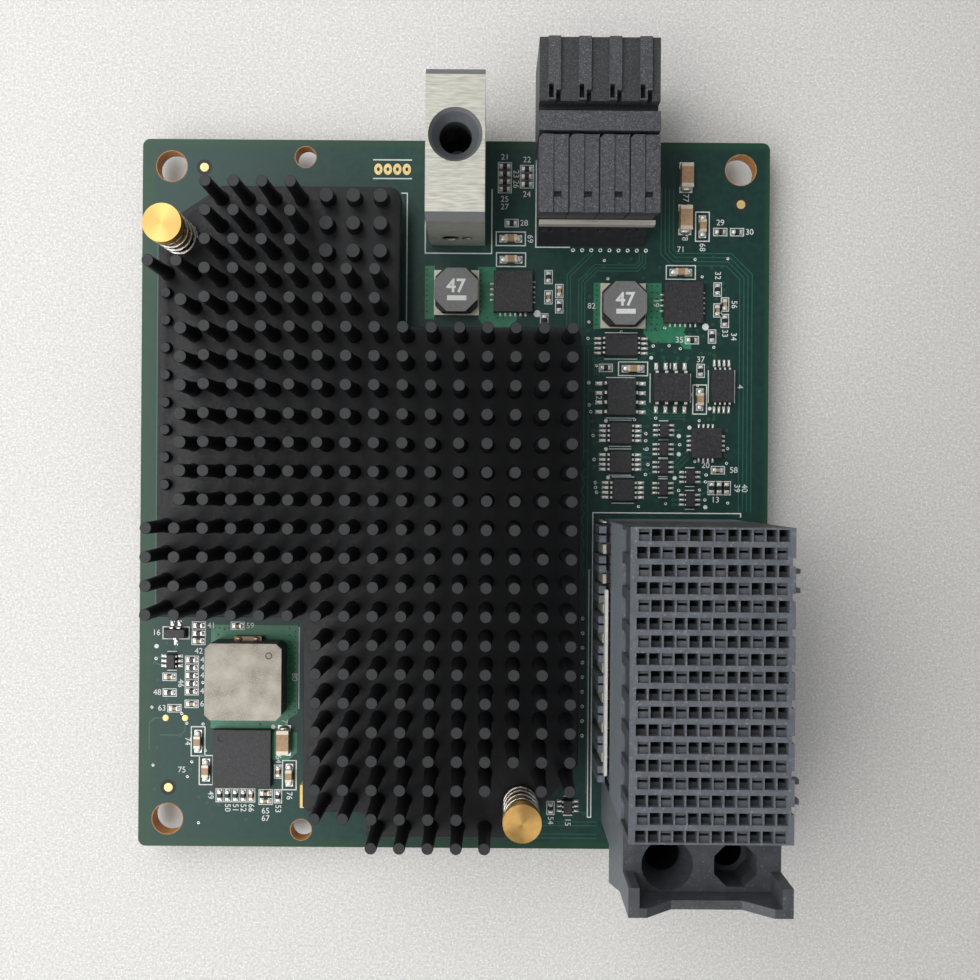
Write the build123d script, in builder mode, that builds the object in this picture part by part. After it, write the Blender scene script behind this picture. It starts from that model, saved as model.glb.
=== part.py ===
"""Mezzanine network card: a server daughter card with a pin-fin heat sink, a right-angle edge connector
and a tall vertical connector.

Millimetres.  +X runs to the right of the component side, +Y to the edge connector, +Z up from the board.
The origin lies under the middle of the footprint, level with the fastener ends below the board.
"""
import os
from math import cos, pi, sin

from build123d import *

os.makedirs("parts", exist_ok=True)

# Board
board_w = 84.0
board_l = 94.7
board_t = 2.36
corner_r = 1.0
edge_overhang = 9.15        # edge connector beyond the board
foot_overhang = 0.95        # foot of the tall connector beyond the board
under = 2.0                 # fastener ends below the board

deck = under + board_t      # component side
half_w = board_w / 2
overall_l = board_l + edge_overhang + foot_overhang
edge_y = overall_l / 2 - edge_overhang
foot_y = edge_y - board_l
board_mid_y = (edge_y + foot_y) / 2

# Corners and edges that parts are placed from
edge_right = (half_w, edge_y)
edge_middle = (0, edge_y)
foot_left = (-half_w, foot_y)
foot_right = (half_w, foot_y)


def near(corner, places):
    """Places that are given as offsets from a corner; what follows x and y is kept."""
    return [(corner[0] + x, corner[1] + y, *rest) for x, y, *rest in places]


# Board holes
mount_hole_d = 4.2
mount_inset_x = 3.9
mount_inset_y = 3.65
pilot_hole_d = 2.9
pilot_x = -20.2
pilot_inset_y = 2.3

mount_holes = [
    (-half_w + mount_inset_x, edge_y - mount_inset_y),
    (half_w - mount_inset_x, edge_y - mount_inset_y),
    (-half_w + mount_inset_x, foot_y + mount_inset_y),
]
pilot_holes = [(pilot_x, edge_y - pilot_inset_y), (pilot_x, foot_y + pilot_inset_y)]

# Heat sink: a cast plate with a grid of tapered pins, columns from the left, rows from the edge connector
pin_columns = 16
pin_rows = 24
pins_left = 5.05            # first and last columns from the board's sides
pins_right = 27.25
pins_edge = 9.35            # first and last rows from the board's ends
pins_foot = 4.45
pin_pitch_x = (board_w - pins_left - pins_right) / (pin_columns - 1)
pin_pitch_y = (board_l - pins_edge - pins_foot) / (pin_rows - 1)
plate_clear = 2.8           # plate above the board
plate_t = 2.5
pin_base_w = 1.75
pin_taper = 1.6             # degrees
pin_h = 8.2
trimmed_pin_h = 6.2
short_pin_h = 2.2
stub_w = 1.3
stub_h = 0.9
plate_rim = 1.25            # plate beyond the middle of its outer pins
plate_edge_rim = 1.7
plate_lobe_rim = 2.4
plate_right_rim = 1.65
plate_foot_rim = 1.4
plate_step_rim = 1.45
plate_low_rim = 2.85
plate_nick = 0.7
plate_ear_w = 3.2           # round the lower push pin
plate_ear_l = 0.6
plate_slope = 1.4           # start of the sloped corner above the upper push pin
plate_lobe_r = 1.5
plate_corner_r = 1.2

plate_z = deck + plate_clear
plate_top = plate_z + plate_t


def column(c):
    """Middle of a column of pins, counted from the left."""
    return -half_w + pins_left + c * pin_pitch_x


def row(r):
    """Middle of a row of pins, counted from the edge connector."""
    return edge_y - pins_edge - r * pin_pitch_y


# Push pins: sprung brass rivets that hold the heat sink down
push_pins_xy = [(column(0.5), row(1.47)), (column(13.33), row(22.1))]
push_head_d = 4.75
push_head_h = 1.5
push_head_proud = 0.1       # above the pins
push_shank_d = 2.4
push_barb_d = 3.6
push_tip_d = 1.8
push_slit = 0.6
push_clear = 0.4            # in its holes, across
spring_clear = 1.0          # round the shank, across
spring_wire = 0.5
spring_turns = 4.5
spring_steps = 6            # straight steps in a turn
spring_seat = 0.06          # play at both ends

push_hole_d = push_shank_d + push_clear
spring_d = push_shank_d + spring_clear + spring_wire    # mean diameter

push_head_z = plate_top + pin_h + push_head_proud - push_head_h

# Controller chip under the heat sink
chip_w = 31.0
chip_x = column(10.3)
chip_y = row(10.0)
chip_base_t = 1.2
chip_lid_w = chip_w - 4.0
chip_lid_t = 1.0
chip_lid_cut = 1.0
thermal_pad_w = chip_lid_w - 1.0
support_pad_l = 3.0
support_pad_w = 2.4
support_pad_out = 0.75      # how far it shows beside the plate
support_pad_up = 1.3        # from the plate's low step

# Guide block beside the edge connector
block_w = 7.25
block_l = 18.5
block_h = 14.0
block_x = 0.3
block_overhang = 4.5
block_chamfer = 0.95
block_bore_d = 4.0
block_bore_floor = 3.5
block_bore_sink_d = 6.6
block_bore_back = 10.3      # bore axis to the end that stands on the board
block_eye_z = 4.2
block_eye_depth = 2.0
block_eyes = [(-0.85, 2.3), (1.3, 1.5)]     # offset from the middle, diameter
block_screw_d = 2.5
block_screw_head_d = 4.6
block_screw_clear = 0.2
block_screw_back = 5.0
block_back_y = edge_y + block_overhang - block_l
block_screws = [(block_x, block_back_y + back) for back in (block_screw_back, block_bore_back)]

# Edge connector: four wafer modules behind a shroud
edge_x = half_w - 24.0
edge_w = 15.0
edge_h = 12.0
edge_modules = 4
edge_module_gap = 0.08
edge_module_z = 5.3
edge_module_back = -12.5    # from the board edge
edge_module_front = -2.9
edge_shroud_back = -2.45
edge_band_l = 2.4
edge_rib_back = 1.3
edge_panel_drop = 0.4
edge_rib_w = 1.55
edge_gutter_depth = 2.2
edge_slot_w = 0.6
edge_slot_l = 1.7
edge_slot_depth = 1.4
edge_slots = [(-0.39, 1.1), (0.49, 0.4)]    # offset from the rib's middle, back end beyond the rib's
edge_module_groove_w = 0.16
edge_module_groove_t = 0.2
edge_module_notch = (0.95, 0.65, 1.0)
edge_module_notch_in = 2.25
edge_module_panel_l = 3.3    # raised end of the right half
edge_module_step = 0.15
edge_module_tongue = 0.25    # drop of the tongue behind the notch
edge_module_undercut = 0.9
edge_module_bevel = 0.45
edge_tail_side = 0.4        # inside the modules
edge_tail_in = 0.75
edge_tail_foot = -14.0      # from the board edge
edge_windows = [(-0.8, 1.0), (0.2, 0.5)]    # offset from the module's middle, width
edge_window_h = 0.7
edge_window_z = 3.3
edge_window_depth = 0.5
edge_strip_t = 0.6
edge_strip_h = 1.3
edge_strip_side = 0.4       # beyond the modules on the right
edge_contact_rows = 3
edge_contact_pitch = 3.0
edge_contact_w = 0.9
edge_contact_h = 0.8
edge_contact_depth = 3.0
edge_pitch = edge_w / edge_modules

# Tall connector: wafers on the board carry a slotted housing, with a guide module at its end
tall_x = half_w - 13.1
tall_w = 17.8
tall_h = 28.0
tall_rows = 18
tall_row_pitch = 1.909
tall_ways = 12
tall_side = 0.67            # outer ways to the housing's sides
tall_from_foot = 11.05      # its end to the far end of the card
tall_end_margin = 0.85      # first row to the housing's end
tall_housing_z = 9.4
tall_slot_w = 1.18
tall_slot_h = 1.25
tall_slit_h = 0.34
tall_slot_depth = 3.0
tall_row_shift = 0.2
tall_recess_h = 7.2
tall_recess_t = 0.4
tall_recess_l = 2.6
tall_recess_rim = 0.6
tall_notch = (0.35, 0.9, 3.0)    # in the right side between the wafer pairs
tall_nub = (1.0, 0.55, 1.2)
tall_nub_root = 0.5         # inside the housing
tall_nub_drop = 1.8         # below the face
tall_nubs_start = (4.8, 6.9)    # from the housing's two ends
tall_nubs_end = (6.35, 4.15)
wafer_t = 1.05
wafer_gap = 0.12
wafer_inset = 0.2           # inside the housing's sides
wafer_shoulder_h = 7.0
wafer_shoulder_out = 1.3
ground_out = 0.7
ground_h = 6.0
keeper_l = 23.4
keeper_w = 0.38
keeper_gap = 0.2            # to the housing's side
keeper_h = 1.5
keeper_from_end = 2.0

tall_left = tall_x - tall_w / 2
tall_right = tall_x + tall_w / 2
tall_way_pitch = (tall_w - 2 * tall_side) / tall_ways
tall_end_y = -overall_l / 2 + tall_from_foot
tall_first_row_y = tall_end_y + tall_end_margin + (tall_rows - 1) * tall_row_pitch
tall_start_y = tall_first_row_y + tall_end_margin

# Guide module
guide_floor = 23.0
guide_wall_t = 1.0
guide_ear_w = 1.2
guide_ear_l = 3.2
guide_wall_top = 25.6
guide_wall_flat = 2.0       # full height beside each ear
guide_wall_slope = 5.0      # lower from here on
guide_face_y = tall_end_y - 7.9
guide_slant_z = 20.7
guide_foot_y = -overall_l / 2
guide_foot_l = 6.3
guide_holes_y = tall_end_y - 3.95
guide_bore_d = 4.1
guide_mouth_d = 5.8
guide_mouth_depth = 4.0
guide_bore_depth = 12.0
guide_round_x = tall_x - 3.9
guide_key_x = tall_x + 3.75
guide_key_w = 4.8
guide_key_depth = 5.0
guide_key_bore_d = 3.6

# Power parts
[choke_xy] = near(foot_left, [(14.8, 22.75)])
choke_w = 10.0
choke_h = 4.0
choke_cut = 0.7
choke_lead_w = 3.6
choke_lead_out = 0.55
choke_lead_h = 1.3
[power_stage_xy] = near(foot_left, [(14.0, 11.95)])
power_stage_w = 7.7
small_chokes_xy = near(edge_middle, [(0.15, -20.4)]) + near(edge_right, [(-19.6, -22.0)])
small_choke_w = 6.0
small_choke_h = 2.8
small_choke_base_t = 0.5
small_choke_cut = 1.6
small_choke_inset = 0.15
regulators_xy = near(edge_middle, [(7.7, -20.2)]) + near(edge_right, [(-11.55, -21.5)])
regulator_w = 5.2
regulator_l = 5.5
flat_package_h = 0.9

# Leaded packages: body along the lead row, body across it, height, lead span, lead pitch, lead width
soic = (4.9, 3.9, 1.5, 6.0, 1.27, 0.41)
tssop = (3.0, 4.4, 1.05, 6.4, 0.65, 0.25)
msop = (3.0, 3.0, 1.0, 4.9, 0.65, 0.3)
sc70 = (2.0, 1.25, 0.9, 2.1, 0.65, 0.24)
sot23 = (2.9, 1.3, 1.0, 2.5, 0.95, 0.42)
lead_t = 0.18
package_lift = 0.1

# Places of packages: x, y, turn of the lead row from +X
soic_places = near(edge_right, [(-13.15, -32.9, 0), (-19.8, -34.25, 90)])
tssop_places = near(edge_right, [(-6.3, -32.65, 0), (-19.8, -27.3, 90)])
msop_places = near(edge_right, [(-19.8, -39.0, 90), (-19.8, -42.85, 90), (-19.4, -46.6, 90)])
sc70_places = near(
    edge_right,
    [
        (-14.0, -38.55, 90),
        (-14.05, -41.1, 90),
        (-14.05, -43.5, 90),
        (-14.05, -46.3, 90),
        (-10.45, -44.8, 90),
        (-10.45, -47.85, 90),
    ],
)
sc70_places += near(foot_left, [(4.4, 24.8, 90)]) + near(foot_right, [(-26.5, 5.75, 90)])
sot23_places = near(foot_left, [(4.9, 28.55, 0)])
[quad_xy] = near(edge_right, [(-8.35, -40.25)])
quad_w = 4.0

# Chip parts: length, width, height, end cap
case_1206 = (3.2, 1.6, 1.5, 0.5)
case_0603 = (1.6, 0.85, 0.8, 0.35)
case_0402 = (1.0, 0.5, 0.4)
places_1206 = near(edge_right, [(-11.25, -4.7, 90), (-11.35, -10.35, 90)])
places_1206 += near(foot_left, [(19.5, 14.25, 90)])
places_0603 = near(
    edge_right,
    [(-9.0, -11.25, 90), (-11.85, -17.4, 0), (-18.15, -30.35, 0), (-9.2, -34.4, 90)],
)
places_0603 += near(edge_middle, [(7.35, -13.05, 0), (7.4, -15.85, 0)])
places_0603 += near(foot_left, [(7.95, 14.05, 90), (9.05, 10.2, 90), (20.2, 9.6, 90)])

# Small chip parts in rows: first x, first y, step x, step y, count, turn
resistor_rows = near(
    edge_right,
    [
        (-6.6, -11.95, 2.25, 0, 2, 0),
        (-6.9, -19.65, 0, 0, 1, 90),
        (-5.9, -23.85, 0, 0, 1, 90),
        (-7.6, -25.95, 0, 0, 1, 90),
        (-10.3, -26.45, 0, 0, 1, 0),
        (-21.8, -30.25, 0, 0, 1, 0),
        (-9.1, -30.55, 0, 0, 1, 90),
        (-7.5, -46.25, 1.0, 0, 3, 90),
    ],
)
resistor_rows += near(
    edge_middle,
    [
        (6.5, -3.35, 0, -1.02, 4, 0),
        (9.45, -3.7, 0, -1.02, 3, 0),
        (7.45, -10.95, 0, 0, 1, 0),
        (12.45, -18.15, 0, 0, 1, 90),
    ],
)
resistor_rows += near(
    foot_left,
    [
        (7.95, 29.55, 0, -1.05, 2, 0),
        (7.05, 24.95, 0, -1.05, 5, 0),
        (4.1, 20.55, 0, 0, 1, 0),
        (10.9, 6.85, 1.05, 0, 4, 90),
        (18.7, 6.75, 0, 0, 1, 90),
    ],
)
resistor_rows += near(foot_right, [(-28.8, 5.45, 0, 0, 1, 90)])
capacitor_rows = near(
    edge_right,
    [(-5.9, -21.65, 0, 0, 1, 90), (-6.9, -22.45, 0, 0, 1, 90), (-6.7, -43.85, 0, 0, 1, 0)],
)
capacitor_rows += near(edge_middle, [(12.45, -20.85, 0, 0, 1, 90)])
capacitor_rows += near(
    foot_left,
    [
        (7.9, 27.5, 0, 0, 1, 0),
        (13.15, 29.55, 0, 0, 1, 0),
        (7.05, 19.05, 0, 0, 1, 0),
        (4.05, 22.65, 0, 0, 1, 0),
        (4.75, 18.45, 0, 0, 1, 0),
        (15.1, 6.85, 0, 0, 1, 90),
        (17.05, 7.15, 0, -1.0, 2, 0),
        (18.7, 10.05, 0, 0, 1, 90),
    ],
)

seat = (Align.CENTER, Align.CENTER, Align.MIN)


def keep(piece, name):
    """Label a finished piece and write its file."""
    piece.part.label = name
    export_step(piece.part, f"parts/{name}.step")


def at(places, z):
    """The given places, lifted to one height."""
    return [(x, y, z) for x, y in places]


def standing(places, z):
    """Locations for parts that are turned about the vertical: x, y, turn."""
    return [Location((x, y, z), (0, 0, turn)) for x, y, turn in places]


def in_rows(rows):
    """Places of parts that are laid out in straight rows."""
    return [
        (x + i * dx, y + i * dy, turn)
        for x, y, dx, dy, count, turn in rows
        for i in range(count)
    ]


# Circuit board, with its mounting, pilot, push-pin and block-screw holes
with BuildPart() as circuit_board:
    with BuildSketch(Plane.XY.offset(under)):
        with Locations((0, board_mid_y)):
            RectangleRounded(board_w, board_l, corner_r)
        with Locations(*mount_holes):
            Circle(mount_hole_d / 2, mode=Mode.SUBTRACT)
        with Locations(*pilot_holes):
            Circle(pilot_hole_d / 2, mode=Mode.SUBTRACT)
        with Locations(*push_pins_xy):
            Circle(push_hole_d / 2, mode=Mode.SUBTRACT)
        with Locations(*block_screws):
            Circle(block_screw_d / 2 + block_screw_clear, mode=Mode.SUBTRACT)
    extrude(amount=board_t)
keep(circuit_board, "circuit_board")

# Heat sink plate outline, from the upper left, clockwise
plate_edge = row(0) + plate_edge_rim
plate_lobe_right = column(8) + plate_lobe_rim
plate_main_edge = row(5) + plate_rim
plate_right = column(15) + plate_right_rim
plate_foot = row(23) - plate_foot_rim
plate_step_x = column(8) - plate_step_rim
plate_step_y = row(22) - plate_edge_rim
plate_low_left = column(6) - plate_low_rim
plate_notch_y = row(15) - plate_rim
plate_left = column(0) - plate_rim
upper_pin_y = push_pins_xy[0][1]
lower_pin_x, lower_pin_y = push_pins_xy[1]
plate_outline = [
    (column(2), plate_edge),
    (plate_lobe_right, plate_edge),
    (plate_lobe_right, plate_main_edge),
    (plate_right, plate_main_edge),
    (plate_right, row(21) + plate_rim),
    (lower_pin_x + plate_ear_w, lower_pin_y),
    (lower_pin_x + plate_ear_l, plate_foot),
    (plate_step_x, plate_foot),
    (plate_step_x, plate_step_y),
    (plate_low_left + plate_nick, plate_step_y),
    (plate_low_left, plate_step_y + plate_nick),
    (plate_low_left, plate_notch_y),
    (plate_left, plate_notch_y),
    (plate_left, upper_pin_y + plate_slope),
]
plate_rounds = [
    ((plate_lobe_right, plate_edge), plate_lobe_r),
    ((plate_right, plate_main_edge), plate_corner_r),
    ((plate_step_x, plate_step_y), plate_corner_r),
    ((plate_low_left, plate_notch_y), plate_corner_r),
]

# Which cells of the grid carry a full pin, a trimmed one, a short one or a stub
full_cells = [(c, r) for r in range(3) for c in range(2, 6)]
full_cells += [(c, 2.76) for c in (0, 1)]
full_cells += [(c, r) for r in (3, 4) for c in range(2, 9)]
full_cells += [(c, r) for r in range(5, 12) for c in range(2, 16)]
full_cells += [(c, r) for r in range(12, 16) for c in range(16)]
full_cells += [(c, r) for r in range(16, 22) for c in range(6, 16) if (c, r) != (13, 21)]
full_cells += [(c, 22) for c in range(6, 12)]
full_cells += [(c, 23) for c in range(8, 13)]
trimmed_cells = [(1, r) for r in range(4, 12)]
short_cells = [(c, r) for r in range(3) for c in range(6, 9)]
stub_cells = [(0, r + 0.5) for r in range(3, 11)]


def tapered_pin(base_w, height):
    """One pin, standing on the origin."""
    with BuildPart() as pin:
        with BuildSketch():
            Rectangle(base_w, base_w)
        extrude(amount=height, taper=pin_taper)
    return pin.part


pin_sets = [
    (full_cells, tapered_pin(pin_base_w, pin_h)),
    (trimmed_cells, tapered_pin(pin_base_w, trimmed_pin_h)),
    (short_cells, tapered_pin(pin_base_w, short_pin_h)),
    (stub_cells, tapered_pin(stub_w, stub_h)),
]

with BuildPart() as heat_sink:
    with BuildSketch(Plane.XY.offset(plate_z)) as plate_face:
        with BuildLine():
            Polyline(*plate_outline, close=True)
        make_face()
        for corner, radius in plate_rounds:
            fillet(plate_face.vertices().sort_by_distance(corner)[0], radius)
        with Locations(*push_pins_xy):
            Circle(push_hole_d / 2, mode=Mode.SUBTRACT)
    extrude(amount=plate_t)
    for cells, pin in pin_sets:
        with Locations(*at([(column(c), row(r)) for c, r in cells], plate_top)):
            add(pin)
keep(heat_sink, "heat_sink")

# Push pins: head, shank and a split barb that bears on the underside of the board
with BuildPart() as push_pins:
    with Locations(*at(push_pins_xy, push_head_z)):
        Cylinder(push_head_d / 2, push_head_h, align=seat)
    with Locations(*at(push_pins_xy, under)):
        Cylinder(push_shank_d / 2, push_head_z - under, align=seat)
    with Locations(*at(push_pins_xy, 0)):
        Cone(push_tip_d / 2, push_barb_d / 2, under, align=seat)
        Box(push_slit, push_barb_d, under + board_t / 2, align=seat, mode=Mode.SUBTRACT)
keep(push_pins, "push_pins")

# Springs between the plate and the push-pin heads, closed on both by half a wire
spring_rise = push_head_z - plate_top - spring_wire - 2 * spring_seat
spring_count = int(spring_turns * spring_steps)


def spring_point(x, y, i):
    """Point of the wire's middle after a number of straight steps."""
    angle = 2 * pi * i / spring_steps
    height = plate_top + spring_seat + spring_wire / 2 + spring_rise * i / spring_count
    return (x + spring_d / 2 * cos(angle), y + spring_d / 2 * sin(angle), height)


with BuildPart() as push_pin_springs:
    for x, y in push_pins_xy:
        with BuildLine() as wire:
            Polyline(*[spring_point(x, y, i) for i in range(spring_count + 1)])
        with BuildSketch(Plane(origin=wire.line @ 0, z_dir=wire.line % 0)):
            Rectangle(spring_wire, spring_wire)
        sweep(path=wire.line, transition=Transition.RIGHT)
keep(push_pin_springs, "push_pin_springs")

# Controller: package base, metal lid and the soft pad between the lid and the plate
with BuildPart() as controller_base:
    with Locations((chip_x, chip_y, deck)):
        Box(chip_w, chip_w, chip_base_t, align=seat)
keep(controller_base, "controller_base")

with BuildPart() as controller_lid:
    with Locations((chip_x, chip_y, deck + chip_base_t)):
        Box(chip_lid_w, chip_lid_w, chip_lid_t, align=seat)
    chamfer(controller_lid.edges().filter_by(Axis.Z), chip_lid_cut)
keep(controller_lid, "controller_lid")

lid_top = deck + chip_base_t + chip_lid_t
with BuildPart() as thermal_pad:
    with Locations((chip_x, chip_y, lid_top)):
        Box(thermal_pad_w, thermal_pad_w, plate_z - lid_top, align=seat)
keep(thermal_pad, "thermal_pad")

support_x = plate_low_left - support_pad_out + support_pad_w / 2
with BuildPart() as support_pad:
    with Locations((support_x, plate_step_y + support_pad_up, deck)):
        Box(support_pad_w, support_pad_l, plate_clear, align=seat)
keep(support_pad, "support_pad")

# Guide block: countersunk bore from above, two eyes in its back, screwed on from below
block_y = block_back_y + block_l / 2
bore_y = block_back_y + block_bore_back
with BuildPart() as guide_block:
    with Locations((block_x, block_y, deck)):
        Box(block_w, block_l, block_h, align=seat)
    for end in (0, -1):
        chamfer(guide_block.faces().sort_by(Axis.Y)[end].edges().sort_by(Axis.Z)[-1], block_chamfer)
    with Locations((block_x, bore_y, deck + block_h)):
        CounterSinkHole(block_bore_d / 2, block_bore_sink_d / 2, block_h - block_bore_floor)
    with Locations(*at(block_screws, deck)):
        Cylinder(block_screw_d / 2, block_bore_floor, align=seat, mode=Mode.SUBTRACT)
    for offset_x, eye_d in block_eyes:
        with BuildSketch(Plane.XZ.offset(-block_back_y)):
            with Locations((block_x + offset_x, deck + block_eye_z)):
                Circle(eye_d / 2)
        extrude(amount=-block_eye_depth, mode=Mode.SUBTRACT)
keep(guide_block, "guide_block")

with BuildPart() as guide_block_screws:
    with BuildSketch():
        with Locations(*block_screws):
            RegularPolygon(block_screw_head_d / 2, 6)
    extrude(amount=under)
    with Locations(*at(block_screws, under)):
        Cylinder(block_screw_d / 2, board_t + block_bore_floor, align=seat)
keep(guide_block_screws, "guide_block_screws")

# Edge connector wafer modules, each with a split top, a latch notch and an undercut back
module_w = edge_pitch - edge_module_gap
module_back_y = edge_y + edge_module_back
module_front_y = edge_y + edge_module_front
module_l = module_front_y - module_back_y
module_mid_y = (module_back_y + module_front_y) / 2
module_top = deck + edge_h
notch_w, notch_l, notch_h = edge_module_notch
module_profile = [
    (module_front_y, deck + edge_module_z),
    (module_front_y, module_top),
    (module_back_y, module_top),
    (module_back_y + edge_module_undercut, deck + edge_module_z),
]
for number in range(edge_modules):
    module_x = edge_x + (number - (edge_modules - 1) / 2) * edge_pitch
    with BuildPart() as edge_module:
        with BuildSketch(Plane.YZ.offset(module_x - module_w / 2)):
            with BuildLine():
                Polyline(*module_profile, close=True)
            make_face()
        extrude(amount=module_w)
        chamfer(edge_module.faces().sort_by(Axis.Y)[-1].edges().sort_by(Axis.X)[0], edge_module_bevel)
        with Locations((module_x, module_mid_y, module_top)):
            Box(edge_module_groove_w, module_l, 2 * edge_module_groove_t, mode=Mode.SUBTRACT)
        with Locations((module_x + notch_w / 2, module_back_y + edge_module_notch_in, module_top)):
            Box(notch_w, notch_l, notch_h, mode=Mode.SUBTRACT)
        with Locations((module_x, module_back_y, module_top)):
            tongue_size = (notch_w, edge_module_notch_in, 2 * edge_module_tongue)
            Box(*tongue_size, align=(Align.MIN, Align.MIN, Align.CENTER), mode=Mode.SUBTRACT)
        with Locations((module_x, module_back_y + edge_module_panel_l, module_top)):
            step_size = (module_w / 2, module_l - edge_module_panel_l, 2 * edge_module_step)
            Box(*step_size, align=(Align.MIN, Align.MIN, Align.CENTER), mode=Mode.SUBTRACT)
    keep(edge_module, f"edge_module_{number + 1}")

# Shroud: a band behind a cross gutter, raised ribs, latch slots and contact openings in its mouth
shroud_back_y = edge_y + edge_shroud_back
shroud_front_y = edge_y + edge_overhang
shroud_l = shroud_front_y - shroud_back_y
gutter_back_y = shroud_back_y + edge_band_l
rib_back_y = edge_y + edge_rib_back
rib_l = shroud_front_y - rib_back_y
with BuildPart() as edge_shroud:
    with Locations((edge_x, (shroud_back_y + shroud_front_y) / 2, deck)):
        Box(edge_w - edge_module_gap, shroud_l, edge_h, align=seat)
    with Locations((edge_x, (gutter_back_y + rib_back_y) / 2, module_top)):
        Box(edge_w, rib_back_y - gutter_back_y, 2 * edge_gutter_depth, mode=Mode.SUBTRACT)
    with Locations((edge_x, rib_back_y + rib_l / 2, module_top)):
        with GridLocations(edge_pitch, 1, edge_modules + 1, 1):
            Box(edge_pitch - edge_rib_w, rib_l, 2 * edge_panel_drop, mode=Mode.SUBTRACT)
    for slot_side, slot_back in edge_slots:
        with Locations((edge_x + slot_side, rib_back_y + slot_back, module_top)):
            with GridLocations(edge_pitch, 1, edge_modules, 1):
                Box(edge_slot_w, edge_slot_l, 2 * edge_slot_depth, mode=Mode.SUBTRACT)
    with BuildSketch(Plane.XZ.offset(-shroud_front_y)):
        with Locations((edge_x, deck + (edge_h - edge_panel_drop) / 2)):
            with GridLocations(edge_pitch / 2, edge_contact_pitch, 2 * edge_modules, edge_contact_rows):
                Rectangle(edge_contact_w, edge_contact_h)
    extrude(amount=edge_contact_depth, mode=Mode.SUBTRACT)
keep(edge_shroud, "edge_shroud")

# Tail block that lifts the modules off the board: a sloped back with windows for the contact tails
tail_back_y = module_back_y + edge_tail_in
tail_foot_y = edge_y + edge_tail_foot
strip_back_y = tail_back_y - edge_strip_t
strip_low = edge_module_z - edge_strip_h
tail_profile = [
    (shroud_back_y, deck),
    (shroud_back_y, deck + edge_module_z),
    (tail_back_y, deck + edge_module_z),
    (tail_back_y, deck + strip_low),
    (strip_back_y, deck + strip_low),
    (tail_foot_y, deck),
]
window_y = tail_foot_y + (strip_back_y - tail_foot_y) * edge_window_z / strip_low
with BuildPart() as edge_tail_block:
    with BuildSketch(Plane.YZ.offset(edge_x - edge_w / 2 + edge_tail_side)):
        with BuildLine():
            Polyline(*tail_profile, close=True)
        make_face()
    extrude(amount=edge_w - 2 * edge_tail_side)
    for window_side, window_w in edge_windows:
        with Locations((edge_x + window_side, window_y, deck + edge_window_z)):
            with GridLocations(edge_pitch, 1, edge_modules, 1):
                Box(window_w, 2 * edge_window_depth, edge_window_h, mode=Mode.SUBTRACT)
keep(edge_tail_block, "edge_tail_block")

with BuildPart() as edge_strip:
    with Locations((edge_x + edge_strip_side, tail_back_y, deck + edge_module_z)):
        Box(edge_w, edge_strip_t, edge_strip_h, align=(Align.CENTER, Align.MAX, Align.MAX))
keep(edge_strip, "edge_strip")

# Tall connector housing: rows of contact slots, every third way narrowed to a slit, recessed flanks
housing_l = tall_start_y - tall_end_y
housing_mid_y = (tall_start_y + tall_end_y) / 2
housing_h = tall_h - tall_housing_z
face_z = deck + tall_h
slot_places = []
slit_places = []
for r in range(tall_rows):
    slit_phase = 0 if r % 2 == 0 else 2
    shift = tall_row_shift / 2 if r % 2 == 0 else -tall_row_shift / 2
    for way in range(tall_ways):
        x = tall_x + (way - (tall_ways - 1) / 2) * tall_way_pitch + shift
        y = tall_first_row_y - r * tall_row_pitch
        (slit_places if way % 3 == slit_phase else slot_places).append((x, y))
flank_y = [tall_first_row_y - (2 * p + 0.5) * tall_row_pitch for p in range(tall_rows // 2)]
with BuildPart() as tall_housing:
    with Locations((tall_x, housing_mid_y, deck + tall_housing_z)):
        Box(tall_w, housing_l, housing_h, align=seat)
    with BuildSketch(Plane.XY.offset(face_z)):
        with Locations(*slot_places):
            Rectangle(tall_slot_w, tall_slot_h)
        with Locations(*slit_places):
            Rectangle(tall_slot_w, tall_slit_h)
    extrude(amount=-tall_slot_depth, mode=Mode.SUBTRACT)
    recess_size = (2 * tall_recess_t, tall_recess_l, tall_recess_h - tall_recess_rim)
    for side in (-1, 1):
        with Locations(*[(tall_x + side * tall_w / 2, y, face_z - tall_recess_h) for y in flank_y]):
            Box(*recess_size, align=seat, mode=Mode.SUBTRACT)
    notch_t, notch_y_l, notch_depth = tall_notch
    with Locations(*[(tall_right, y - tall_row_pitch, face_z) for y in flank_y[:-1]]):
        Box(2 * notch_t, notch_y_l, 2 * notch_depth, mode=Mode.SUBTRACT)
    nub_out, nub_l, nub_h = tall_nub
    nub_y = [tall_start_y - d for d in tall_nubs_start] + [tall_end_y + d for d in tall_nubs_end]
    with Locations(*[(tall_right - tall_nub_root, y, face_z - tall_nub_drop) for y in nub_y]):
        Box(nub_out + tall_nub_root, nub_l, nub_h, align=(Align.MIN, Align.CENTER, Align.MAX))
keep(tall_housing, "tall_housing")

# Wafers in pairs: a shoulder on the board and a narrower top under the housing, with a plate at the end
pair_t = 2 * wafer_t + wafer_gap
end_plate_t = tall_start_y - flank_y[0] - pair_t / 2 - wafer_gap
wafer_y = [y + side * (wafer_t + wafer_gap) / 2 for y in flank_y for side in (1, -1)]
wafer_profile = [
    (tall_left - wafer_shoulder_out, deck),
    (tall_left - wafer_shoulder_out, deck + wafer_shoulder_h),
    (tall_left + wafer_inset, deck + wafer_shoulder_h),
    (tall_left + wafer_inset, deck + tall_housing_z),
    (tall_left + tall_w - wafer_inset, deck + tall_housing_z),
    (tall_left + tall_w - wafer_inset, deck),
]
with BuildPart() as wafers:
    for y in wafer_y:
        with BuildSketch(Plane.XZ.offset(-y - wafer_t / 2)):
            with BuildLine():
                Polyline(*wafer_profile, close=True)
            make_face()
        extrude(amount=wafer_t)
    with Locations((tall_x, tall_start_y, deck)):
        end_size = (tall_w - 2 * wafer_inset, end_plate_t, tall_housing_z)
        Box(*end_size, align=(Align.CENTER, Align.MAX, Align.MIN))
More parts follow.
